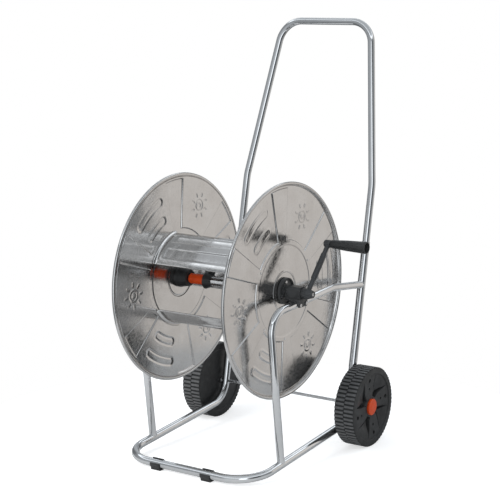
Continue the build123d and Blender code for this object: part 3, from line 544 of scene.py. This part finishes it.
def make_supports():
    """The side supports: each rises from the base rail, turns back and meets the upright, welded to both."""
    front = np.array((half_track, front_y, front_z))
    rear = np.array((half_track, rear_y, rear_z))
    knee = np.array((half_track, knee_y, knee_z))
    corners = [
        front + foot_along_rail * (rear - front),
        (half_track, arm_front_y, arm_front_z),
        (half_track, arm_rear_y, arm_rear_z),
        (half_track, upright_y(arm_end_z), arm_end_z),
    ]
    path = bent_path(corners, [arm_front_bend, arm_rear_bend])
    start, end = unit(path[1] - path[0]), unit(path[-1] - path[-2])
    clear = frame_tube_r + cope_length
    middle = np.array([path[0] + start * clear, *path[1:-1], path[-1] - end * clear])
    grid = tube_grid(middle, [support_tube_r] * len(middle))
    first = coped_ring(grid[0], -start, front, rear)
    last = coped_ring(grid[-1], end, rear, knee)
    tube = grid_piece("support_tube", np.concatenate([[first], grid, [last]]))
    support = joined("support_tube_right", [tube, weld_bead("foot_weld", first), weld_bead("arm_weld", last)])
    twin = mirrored_piece(support, "support_tube_left")
    give(support, "tube", "frame", "zinc_tube", "support_right")
    give(twin, "tube", "frame", "zinc_tube", "support_left")


# ---------------------------------------------------------------- reel
def arc_distance(r, a, at, half):
    """Distance in mm from points (radius, angle from the middle in degrees) to an arc."""
    inside = np.abs(r - at)
    beyond = np.radians(np.clip(np.abs(a) - half, 0, None))
    ends = np.sqrt(np.clip(r * r + at * at - 2 * r * at * np.cos(beyond), 0, None))
    return np.where(np.abs(a) <= half, inside, ends)


def wrapped(angle):
    """An angle in degrees brought between -180 and 180."""
    return (angle + 180) % 360 - 180


def rosette(u, v):
    """Relief of the stamped ornament: a dot, a ring and short rays round it."""
    rho = np.hypot(u, v)
    dot = smooth_step(7.4, 5.0, rho)
    ring = smooth_step(2.4, 0.9, np.abs(rho - 13.5))
    off_ray = np.radians(wrapped(np.degrees(np.arctan2(v, u)) * ray_count) / ray_count) * rho
    ray = smooth_step(3.2, 1.3, np.hypot(off_ray, rho - np.clip(rho, 23.5, 30.5)))
    return rosette_height * (dot + ring + ray)


def flange_height(r, angle):
    """How far the pressed disc stands outwards at a radius and an angle."""
    edge = star_hub_r - r
    for spoke in spoke_angles:
        offset = np.abs(wrapped(angle - spoke))
        side = r * np.sin(np.radians(np.clip(spoke_half_angle - offset, -60, 60)))
        edge = np.maximum(edge, np.minimum(side, star_tip_r - r))
    height = star_offset * smooth_step(-1.3, 1.3, edge)
    height -= plate_depth * smooth_step(plate_r + 1.5, plate_r - 1.5, r)
    height += ring_bead_height * smooth_step(3.2, 0.6, np.abs(r - ring_bead_at))
    height += rim_step * smooth_step(rim_step_r - 0.9, rim_step_r + 0.9, r)
    for middle in pill_angles:
        for at, half in pills:
            distance = arc_distance(r, wrapped(angle - middle), at, half)
            height += pill_height * smooth_step(pill_half_width + 0.2, pill_half_width - 2.4, distance)
            height -= pill_dip * smooth_step(pill_half_width - 4.2, pill_half_width - 7.0, distance)
    for middle in rosette_angles:
        a = np.radians(wrapped(angle - middle))
        height += np.where(np.abs(a) < 0.4, rosette(r * np.sin(a), r * np.cos(a) - rosette_at), 0)
    y, z = r * np.cos(np.radians(angle)), r * np.sin(np.radians(angle))
    waves = np.sin(y / 31 + 1.3) * np.sin(z / 27 + 0.4) + 0.7 * np.sin(y / 17 - z / 21 + 2.0)
    return height + sheet_waviness * waves


def flange_angles():
    """Angles of the disc's spokes of vertices: close together over edges and ornaments."""
    angles = set(np.round(np.arange(0, 360, 2.0), 2))
    beside_edge = np.array((-0.9, -0.6, -0.35, -0.1, 0.1, 0.35, 0.6, 0.9))
    for spoke in spoke_angles:
        for side in (-spoke_half_angle, spoke_half_angle):
            angles.update(np.round((spoke + side + beside_edge) % 360, 2))
    for middle in pill_angles:
        angles.update(np.round((middle + np.arange(-17.5, 17.6, 0.9)) % 360, 2))
    for middle in rosette_angles:
        angles.update(np.round((middle + np.arange(-11.25, 11.3, 0.45)) % 360, 2))
    ordered = sorted(angles)
    kept = [ordered[0]]
    for angle in ordered[1:]:
        if angle - kept[-1] > 0.18:
            kept.append(angle)
    return np.array(kept)


def flange_radii():
    """Radii of the disc's rings of vertices: close together over the beads, steps and ornaments."""
    return np.concatenate([
        np.arange(flange_hole_r, 42, 5.0), np.arange(43, 52, 0.9), np.arange(56, 104, 6.0),
        np.arange(105, 112, 0.9), np.arange(114, 119, 2.5), np.arange(119.4, 123, 0.55),
        np.arange(126, 147, 4.0), np.arange(148.5, 224, 1.7), np.arange(227, 241, 3.5),
        np.arange(241.4, 245, 0.6), [246.0, 247.0, 247.6, 248.1, 248.6, 249.1, 249.8],
    ])


def make_flange(name, node, face_x, outward):
    """The pressed disc as one closed sheet with a rolled rim."""
    angles, radii = flange_angles(), flange_radii()
    r, angle = np.meshgrid(radii, angles, indexing="ij")
    inner = flange_height(r, angle)
    rings = [*zip(inner, radii), *bead_profile(), *reversed([*zip(inner + sheet, radii)])]
    placed = [(face_x + outward * height, radius) for height, radius in rings]
    disc = grid_piece(name, ring_grid(placed, angles, 0, axis_z), wrap_rows=True, sharp_angle=44.0)
    give(disc, "sheet", "reel", "reel_sheet", node)


def bead_profile():
    """(height, radius) of the rolled rim, from the inner face round to the outer face."""
    centre_r = flange_r - bead_r
    turns = np.radians(np.arange(0, 301, 15.0))
    edge = [(0.5, 250.6), (0.0, 251.2), (0.0, 252.4)]
    return edge + [(bead_r - bead_r * math.cos(t), centre_r + bead_r * math.sin(t)) for t in turns]


def make_drum_sheet(node, middle):
    """A curved drum segment: two pressed flutes, flared ends and rolled long edges."""
    low, high = left_face_x - star_offset + 0.1, right_face_x + star_offset - 0.1
    from_end = np.array((0, 0.8, 1.8, 3.0, 4.5, 6.5, 9.0, 12.0, 15.0, 18.0, 21.0, 24.0, 28.0, 33.0))
    between = np.linspace(low + 38, high - 38, 22)
    stations = np.concatenate([low + from_end, between, (high - from_end)[::-1]])
    edge = math.radians(drum_half_angle)
    across = np.linspace(-edge, edge, 71)
    arc = np.stack([np.cos(across), np.sin(across)], -1)
    flutes = sum(smooth_step(0.29, 0.20, np.abs(across / edge - at)) for at in (-flute_at, flute_at))
    rows = []
    for x in stations:
        end = min(x - low, high - x)
        flare = drum_flare * (1 - smooth_step(0.0, 6.0, end)) ** 1.5
        radius = (drum_r + flare - flute_depth * flutes * smooth_step(16.0, 26.0, end))[:, None]
        right = curl_points(radius[-1] - drum_curl_r, edge)
        left = right[::-1] * np.array((1, -1))
        rows.append(np.concatenate([radius * arc, right, ((radius - sheet) * arc)[::-1], left]))
    rows = np.array(rows)
    turn = math.radians(middle)
    grid = np.empty((*rows.shape[:2], 3))
    grid[..., 0] = stations[:, None]
    grid[..., 1] = rows[..., 0] * math.cos(turn) - rows[..., 1] * math.sin(turn)
    grid[..., 2] = axis_z + rows[..., 0] * math.sin(turn) + rows[..., 1] * math.cos(turn)
    give(grid_piece(node + "_pressed", grid), "sheet", "reel", "reel_sheet", node)


def curl_points(centre_r, edge):
    """Points round the rolled edge of a drum sheet, in its own (radial, tangential) plane."""
    radial = np.array((math.cos(edge), math.sin(edge)))
    tangent = np.array((-math.sin(edge), math.cos(edge)))
    turns = np.radians(np.arange(80, -150, -23.0))
    round_it = np.sin(turns)[:, None] * radial + np.cos(turns)[:, None] * tangent
    return centre_r * radial + drum_curl_r * round_it


def make_reel():
    """The two discs and the drum sheets between them."""
    make_flange("disc_left", "flange_left", left_face_x, -1)
    make_flange("disc_right", "flange_right", right_face_x, 1)
    for node, middle in drum_angles.items():
        make_drum_sheet(node, middle)


# ---------------------------------------------------------------- wheels
def wheel_face_depth(r, angle):
    """Depth in mm of the wheel's outer face below its rim, at a radius and an angle."""
    depth = 2.2 * smooth_step(85.0, 83.0, r) + 2.6 * smooth_step(83.0, 40.0, r)
    slope = smooth_step(30.0, 84.0, r)
    for k in range(fan_count):
        middle = fan_first + 360 / fan_count * k
        offset = wrapped(angle - middle - 7.0 * (1 - slope))
        half = 7.5 + 26.0 * smooth_step(24.0, 86.0, r)
        inside = half - np.abs(np.radians(offset) * r)
        reach = smooth_step(26.0, 29.0, r) * smooth_step(83.5, 80.0, r)
        fan = 6.0 * (1 - slope) ** 1.1
        slot_width = 1.2 + 7.5 * (1 - slope)
        slot = 9.5 * (1 - slope) ** 0.7 * smooth_step(slot_width + 1.2, slot_width, inside)
        depth = depth + reach * smooth_step(-0.4, 0.5, inside) * (fan + slot)
        web = middle + 180 / fan_count
        for at, radius, deep, turn in web_holes:
            hole = np.hypot(np.radians(wrapped(angle - web - turn)) * at, r - at)
            depth = depth + deep * smooth_step(radius + 0.4, radius - 0.4, hole)
    return depth


def tread_height(angles, phase):
    """Radius of the tread round the wheel: flat-topped ribs with steep sides."""
    offset = np.abs(wrapped((angles - phase) * tread_ribs) / tread_ribs)
    return wheel_r - tread_depth * smooth_step(0.26 * rib_pitch, 0.36 * rib_pitch, offset)


def tread_rings(angles, side, phase):
    """One half's tread as rings, from the seam to the outer face (side 1) or to the inner face (side -1)."""
    face_x = wheel_seam_x + side * wheel_width / 2
    root = np.full(len(angles), wheel_r - tread_depth)
    crown = tread_height(angles, phase)
    shoulder = crown - 0.9
    from_seam = [
        (0.1, root - 3.0), (0.1, root - 1.0), (0.2, shoulder - 0.4), (0.8, crown - 0.2), (2.2, crown),
        (13.0, crown - 0.15),
    ]
    from_face = [(2.0, crown), (0.6, shoulder), (0.2, np.minimum(shoulder, root + 1.0))]
    rings = [(wheel_seam_x + side * x, radius) for x, radius in from_seam]
    return rings + [(face_x - side * x, radius) for x, radius in from_face]


def make_wheel_right():
    """Outer and inner half shells with staggered ribs."""
    steps = np.array([0, 0.14, 0.25, 0.31, 0.37, 0.5, 0.63, 0.69, 0.75, 0.86])
    angles = (np.arange(tread_ribs)[:, None] + steps).ravel() * rib_pitch
    face_radii = np.concatenate([
        [96.6, 94.0, 90.0, 86.5], np.arange(85.2, 82.4, -0.55), np.arange(81.5, 22.0, -1.0), [21.6, 21.0],
    ])
    face = [(wheel_outer_x - wheel_face_depth(radius, angles), radius) for radius in face_radii]
    seat_r = cap_r + 0.35
    hub = [
        (wheel_outer_x - 5.2, seat_r), (wheel_outer_x - cap_seat, seat_r),
        (wheel_outer_x - cap_seat, wheel_bore_r), (wheel_seam_x + 0.2, wheel_bore_r),
    ]
    outer = ring_grid([*tread_rings(angles, 1, 0.0), *face, *hub], angles, axle_y, wheel_r)
    shell = grid_piece("wheel_shell_outer_right", outer, wrap_rows=True, sharp_angle=34.0)
    back_profile = (
        (0.0, 92.0), (0.0, 84.0), (2.2, 82.0), (2.2, 34.0), (0.4, 31.0), (0.0, 14.0), (0.4, 12.0),
        (0.4, wheel_bore_r), (wheel_width / 2 - 0.2, wheel_bore_r),
    )
    inner_face = [(wheel_seam_x - wheel_width / 2 + x, radius) for x, radius in back_profile]
    inner = ring_grid([*tread_rings(angles, -1, rib_pitch / 2), *inner_face], angles, axle_y, wheel_r)
    back = grid_piece("wheel_shell_inner_right", inner, wrap_rows=True, sharp_angle=34.0)
    return shell, back


def make_hub_cap_right():
    """Snap-in cap: a low dome with two moulded rings and a skirt."""
    wall, thickness, skirt, middle_r = 2.0, 2.6, 9.0, 0.4
    radii = np.arange(middle_r, cap_r - 0.9, 0.5)
    dome = 0.85 * (1 - (radii / cap_r) ** 2)
    rings = 0.35 * sum(smooth_step(0.9, 0.2, np.abs(radii - at)) for at in (8.0, 14.5))
    face = zip(wheel_outer_x + dome + rings - 0.3, radii)
    rim = [(wheel_outer_x - 0.35, cap_r - 0.5), (wheel_outer_x - 0.9, cap_r), (wheel_outer_x - skirt, cap_r)]
    inside = [
        (wheel_outer_x - skirt, cap_r - wall), (wheel_outer_x - thickness, cap_r - wall),
        (wheel_outer_x - thickness, middle_r),
    ]
    return lathe_piece("cap_right", [*face, *rim, *inside], axle_y, wheel_r, 72)


def make_wheels():
    """Both wheels: the right one is built and the left one mirrors it."""
    shell, back = make_wheel_right()
    cap = make_hub_cap_right()
    for piece, node, finish, slot in (
        (shell, "wheel_outer", "tread", "black_plastic"),
        (back, "wheel_inner", "tread", "black_plastic"),
        (cap, "hub_cap", "orange", "orange_plastic"),
    ):
        twin = mirrored_piece(piece, piece.name.replace("right", "left"))
        give(piece, finish, "wheel_right", slot, node + "_right")
        give(twin, finish, "wheel_left", slot, node + "_left")


# ---------------------------------------------------------------- hubs, water path and crank
def make_lathed_parts():
    """The reel's shaft tube and the axle, with chamfered ends."""
    low, high = shaft_x
    edge = shaft_r - shaft_chamfer
    shaft = [
        (low, shaft_bore_r), (low, edge), (low + shaft_chamfer, shaft_r), (high - shaft_chamfer, shaft_r),
        (high, edge), (high, shaft_bore_r),
    ]
    piece = lathe_piece("shaft_tube", shaft, 0, axis_z, 72, closed=True)
    give(piece, "steel", "reel", "bright_steel", "reel_shaft")
    half, edge = axle_half_length, axle_r - axle_chamfer
    rod = [(-half, edge), (axle_chamfer - half, axle_r), (half - axle_chamfer, axle_r), (half, edge)]
    piece = lathe_piece("axle", rod, axle_y, wheel_r, 32)
    give(piece, "steel", "frame", "bright_steel", "axle_rod")


def make_sleeve():
    """Release sleeve with raised gripping ribs round its middle and a pocket for its spring inside."""
    low, high = sleeve_x
    pocket_low, pocket_high = sleeve_pocket_x
    x = np.arange(low + 0.2, high, 0.35)
    edge = np.minimum(x - low, high - x)
    body = sleeve_r - 2.2 * (1 - smooth_step(-1.5, 3.2, edge)) - 0.5 * smooth_step(7, 8, edge)
    ribs = 0.55 * smooth_step(7, 8, edge) * (0.5 + 0.5 * np.cos((x - low) * 2 * math.pi / 3.0))
    inside = [
        (high, 9.9), (high, sleeve_bore_r), (pocket_high, sleeve_bore_r), (pocket_high, sleeve_pocket_r),
        (pocket_low, sleeve_pocket_r), (pocket_low, sleeve_bore_r), (low, sleeve_bore_r), (low, 9.9),
    ]
    profile = [*zip(x, body + ribs), *inside]
    piece = lathe_piece("release_sleeve_ribbed", profile, 0, axis_z, 64, closed=True)
    give(piece, "orange", "release_sleeve", "orange_plastic", "connector_sleeve")


def make_crank():
    """Boss, round arm with a thicker middle, eye and the grip's pin, as one cast piece."""
    angle = math.radians(crank_angle)
    along = np.array((0, math.cos(angle), math.sin(angle)))
    start = np.array((crank_x, 0, axis_z))
    stations = [
        (4.0, 5.7), (0.292 * crank_throw, 5.5), (0.297 * crank_throw, 6.5), (0.303 * crank_throw, 7.0),
        (0.5 * crank_throw, 7.0), (0.785 * crank_throw, 7.0), (0.791 * crank_throw, 6.5),
        (0.796 * crank_throw, 5.5), (crank_throw - 1.0, 5.7),
    ]
    centres = np.array([start + along * distance for distance, _ in stations])
    arm = grid_piece("arm", tube_grid(centres, [radius for _, radius in stations]), sharp_angle=30.0)
    boss_profile = [
        (201.6, 0.5), (201.6, 13.2), (213.0, 13.2), (229.0, 7.9), (229.0, 4.3), (225.6, 4.3), (225.6, 0.5),
    ]
    boss = lathe_piece("boss", softened(boss_profile, 0.8), 0, axis_z)
    eye_profile = [(202.0, 0.5), (202.0, 9.2), (219.0, 9.2), (219.0, 0.5)]
    eye = lathe_piece("eye", softened(eye_profile, 2.6), grip_y, grip_z, 56)
    pin = lathe_piece("pin", [(218.0, 5.0), (300.2, 5.0)], grip_y, grip_z, 40)
    give(joined("crank_casting", [arm, boss, eye, pin]), "crank", "reel", "black_plastic", "crank_arm")


def make_grip():
    """Tapered hand grip with shallow finger recesses and an open outer end."""
    low, high = grip_x
    middle = low + 0.45 * (high - low)
    skin = [
        (low, grip_bore_r), (low, 7.6), (low + 2.2, 9.7), (middle, 12.6), (high - 1.6, 14.4), (high, 13.4),
    ]
    mouth = [(high, 11.9), (high - 1.2, 11.4), (mouth_floor_x, 10.6), (mouth_floor_x, grip_bore_r)]
    rounded = bent_path(skin, [0.6, 2.4, 60.0, 1.0], step=12.0)
    steps = []
    for first, second in zip(rounded, rounded[1:]):
        count = max(1, math.ceil(np.linalg.norm(second - first) / 2.0))
        steps += [first + (second - first) * k / count for k in range(count)]
    profile = np.array([*steps, rounded[-1], *mouth])
    angles = even_angles(96)
    side = np.abs(wrapped((angles - recess_first) * recess_count) / recess_count)
    x, radius = profile.T
    start, stop = recess_x
    along = smooth_step(start, start + 4.0, x) * smooth_step(stop, stop - 6.0, x)
    along[:3] = along[len(steps):] = 0
    recess = recess_depth * along[:, None] * smooth_step(13.0, 9.5, side)
    rings = zip(x, radius[:, None] * (1 - recess))
    piece = grid_piece("hand_grip", ring_grid([*rings], angles, grip_y, grip_z), wrap_rows=True)
    give(piece, "black", "crank_grip", "black_plastic", "grip")


def make_dressed_parts():
    """The remaining parts keep their CAD shape, with rounded edges."""
    plan = {
        "frame": {
            "hub": (("bearing_block_right", 0.5), ("bearing_block_left", 0.5)),
            "black": (("foot_clip_left", 0.5), ("foot_clip_right", 0.5), ("inlet_elbow", 0.4)),
            "steel": (
                ("block_screws_right", 0.25), ("block_screws_left", 0.25), ("block_nuts_right", 0.25),
                ("block_nuts_left", 0.25), ("inlet_screws", 0.2), ("handle_rivets", 0.2),
                ("axle_spacers", 0.3),
            ),
        },
        "reel": {
            "hub": (("hub_cup_right", 0.5), ("hub_cup_left", 0.5)),
            "black": (
                ("manifold", 0.6), ("shaft_socket", 0.6), ("outlet_elbow", 0.4), ("connector_body", 0.3),
            ),
            "steel": (
                ("hub_screws_right", 0.25), ("hub_screws_left", 0.25), ("drum_rivets", 0.2),
                ("crank_screw", 0.2), ("grip_washer", 0.15), ("grip_screw", 0.2),
            ),
        },
    }
    slots = {"hub": "black_plastic", "black": "black_plastic", "steel": "bright_steel"}
    for body, groups in plan.items():
        for finish, parts in groups.items():
            for node, bevel in parts:
                give(dressed(node, bevel), finish, body, slots[finish], node)


def finish_kept_nodes():
    """CAD nodes that stay as they are, inside the assembly, get their slot's finish."""
    slots = {part["node"]: part["material_slot"] for part in frame["record"]["subparts"]}
    for node, obj in frame["nodes"].items():
        obj.data.materials.clear()
        obj.data.materials.append(finishes[slot_finish[slots[node]]])


# ---------------------------------------------------------------- floor, light and camera
def make_floor():
    """A round pale floor under the cart, which the metal mirrors darker than the camera sees it."""
    radius, rings, segments = 0.80, 24, 96
    turn = np.linspace(0, 2 * math.pi, segments, endpoint=False)
    vertices = [(0.0, 0.0, 0.0)]
    for ring in range(1, rings + 1):
        r = radius * ring / rings
        vertices += [(r * math.cos(t), r * math.sin(t), 0.0) for t in turn]
    after = [(j + 1) % segments for j in range(segments)]
    faces = [[0, 1 + j, 1 + after[j]] for j in range(segments)]
    for ring in range(rings - 1):
        a, b = 1 + ring * segments, 1 + (ring + 1) * segments
        faces += [[a + j, b + j, b + after[j], a + after[j]] for j in range(segments)]
    mesh = bpy.data.meshes.new("studio_floor")
    mesh.from_pydata(vertices, [], faces)
    floor = linked("studio_floor", mesh)
    finish = Finish("floor_white", 0.0, Emission_Color=(1, 1, 1, 1))
    seen = finish.add("ShaderNodeLightPath").outputs["Is Camera Ray"]
    finish.link(finish.spread(seen, 0.0, 0.60, 0.0, 1.0), finish.shader.inputs["Emission Strength"])
    finish.colour(finish.noise(3.0), (0.3, grey(0.70)), (0.7, grey(0.72)))
    finish.roughness(finish.noise(8.0), 0.85, 0.95)
    finish.relief((finish.noise(300.0, 2.0), 0.02, 0.05),)
    mesh.materials.append(finish.material)


# Brightness round the studio by azimuth (0 is +X, 90 is to the rear), and by height above the horizon.
# Both are multiplied, and doubled by studio_strength, so 0.5 by 1 is as bright as white paper.
# DISC_SIDE is the plain warm wall that both discs face; the rest is a little cooler.
DISC_SIDE = 0.42
disc_side_warmth, studio_warmth = 0.033, -0.055
studio_strength = 2.0
STUDIO_WALLS = (
    (-180, 0.20), (-150, 0.24), (-116, 0.23), (-100, 0.36), (-66, 0.34), (-60, 0.95), (-44, 0.95),
    (-38, 0.24), (-28, 0.04), (-8, 0.04), (0, 0.17), (34, 0.17), (42, DISC_SIDE), (74, DISC_SIDE),
    (82, 0.09), (98, 0.09), (108, 0.28), (140, 0.30), (150, 0.11), (168, 0.11), (180, 0.20),
)
STUDIO_LEVELS = (
    (-90, 0.35), (-30, 0.55), (-8, 0.95), (26, 0.95), (31, 0.28), (35, 0.26), (37, 0.92), (41, 0.92),
    (45, 0.33), (90, 0.30),
)


def make_world():
    """A studio round the cart: soft boxes and dark flags for the metal to mirror, white to the camera."""
    world = bpy.data.worlds.new("studio")
    world.use_nodes = True
    bpy.context.scene.world = world
    tree = world.node_tree
    tree.nodes.clear()

    def add(kind, **settings):
        node = tree.nodes.new(kind)
        for key, value in settings.items():
            setattr(node, key, value)
        return node

    def calc(operation, *values):
        node = add("ShaderNodeMath", operation=operation)
        for socket, value in zip(node.inputs, values):
            if isinstance(value, (int, float)):
                socket.default_value = value
            else:
                tree.links.new(value, socket)
        return node.outputs["Value"]

    def ramp(source, stops):
        """A grey ramp from (position, brightness) or (position, brightness, warmth) stops."""
        node = add("ShaderNodeValToRGB")
        elements = node.color_ramp.elements
        elements[0].position, elements[-1].position = stops[0][0], stops[-1][0]
        elements[0].color = (*grey(*stops[0][1:]), 1)
        elements[-1].color = (*grey(*stops[-1][1:]), 1)
        for position, *shade in stops[1:-1]:
            elements.new(position).color = (*grey(*shade), 1)
        tree.links.new(source, node.inputs["Fac"])
        return node.outputs["Color"]

    direction = add("ShaderNodeSeparateXYZ")
    tree.links.new(add("ShaderNodeTexCoord").outputs["Generated"], direction.inputs["Vector"])
    azimuth = calc("ARCTAN2", direction.outputs["Y"], direction.outputs["X"])
    around = calc("ADD", calc("DIVIDE", azimuth, 2 * math.pi), 0.5)
    height = calc("MULTIPLY_ADD", direction.outputs["Z"], 0.5, 0.5)
    walls = ramp(around, [
        (at / 360 + 0.5, value, disc_side_warmth if value == DISC_SIDE else studio_warmth)
        for at, value in STUDIO_WALLS
    ])
    levels = ramp(height, [(math.sin(math.radians(at)) / 2 + 0.5, value) for at, value in STUDIO_LEVELS])
    blend = ramp(height, [(0.0, 1.0), (0.73, 1.0), (0.80, 0.0), (1.0, 0.0)])
    wall_or_ceiling = add("ShaderNodeMix", data_type="RGBA", blend_type="MIX")
    tree.links.new(blend, wall_or_ceiling.inputs["Factor"])
    tree.links.new(walls, wall_or_ceiling.inputs["B"])
    wall_or_ceiling.inputs["A"].default_value = (*grey(1.0, -0.06), 1)
    studio = add("ShaderNodeMix", data_type="RGBA", blend_type="MULTIPLY")
    studio.inputs["Factor"].default_value = 1.0
    tree.links.new(wall_or_ceiling.outputs["Result"], studio.inputs["A"])
    tree.links.new(levels, studio.inputs["B"])
    shaded = add("ShaderNodeBackground")
    shaded.inputs["Strength"].default_value = studio_strength
    tree.links.new(studio.outputs["Result"], shaded.inputs["Color"])
    plain = add("ShaderNodeBackground")
    plain.inputs["Color"].default_value = (1, 1, 1, 1)
    plain.inputs["Strength"].default_value = 1.0
    chosen = add("ShaderNodeMixShader")
    tree.links.new(add("ShaderNodeLightPath").outputs["Is Camera Ray"], chosen.inputs["Fac"])
    tree.links.new(shaded.outputs["Background"], chosen.inputs[1])
    tree.links.new(plain.outputs["Background"], chosen.inputs[2])
    tree.links.new(chosen.outputs["Shader"], add("ShaderNodeOutputWorld").inputs["Surface"])


def make_lights():
    """A large soft key from the upper front left, a low soft box in front and a weak one on the right.

    They light the plastic and the floor. The metal mirrors the studio alone.
    """
    target = Vector((origin.x, origin.y, 0.45))
    for name, place, size, energy in (
        ("key", (-1.7, -2.3, 2.4), 1.6, 50.0),
        ("front", (-0.9, -3.0, 1.1), 1.4, 30.0),
        ("fill", (2.4, -1.2, 2.6), 1.2, 5.0),
    ):
        light = bpy.data.lights.new(name, "AREA")
        light.shape = "SQUARE"
        light.size = size
        light.energy = energy
        obj = linked(name, light)
        obj.location = place
        obj.rotation_euler = (target - obj.location).to_track_quat("-Z", "Y").to_euler()
        obj.visible_glossy = False


def make_camera():
    """The view of the cart from the front right, a little above."""
    azimuth, elevation, roll = math.radians(33.28), math.radians(9.89), math.radians(0.14)
    from_reel = Vector((1897.0, -2720.4, 1102.9)) * MM
    level = math.cos(elevation)
    back = Vector((math.sin(azimuth) * level, -math.cos(azimuth) * level, math.sin(elevation)))
    right = Vector((math.cos(azimuth), math.sin(azimuth), 0))
    turn = Matrix((right, back.cross(right), back)).transposed().to_4x4() @ Matrix.Rotation(roll, 4, "Z")
    data = bpy.data.cameras.new("camera")
    data.sensor_width = 36.0
    data.lens = 101.2
    data.shift_x, data.shift_y = -0.0425, -0.015
    data.clip_start, data.clip_end = 0.1, 60.0
    camera = linked("camera", data)
    camera.matrix_world = Matrix.Translation(origin + from_reel) @ turn
    bpy.context.scene.camera = camera


# ---------------------------------------------------------------- everything
finish_kept_nodes()
make_frame_tubes()
make_supports()
make_reel()
make_wheels()
make_lathed_parts()
make_sleeve()
make_crank()
make_grip()
make_dressed_parts()
make_floor()
make_world()
make_lights()
make_camera()
bpy.context.scene.view_settings.view_transform = "Standard"
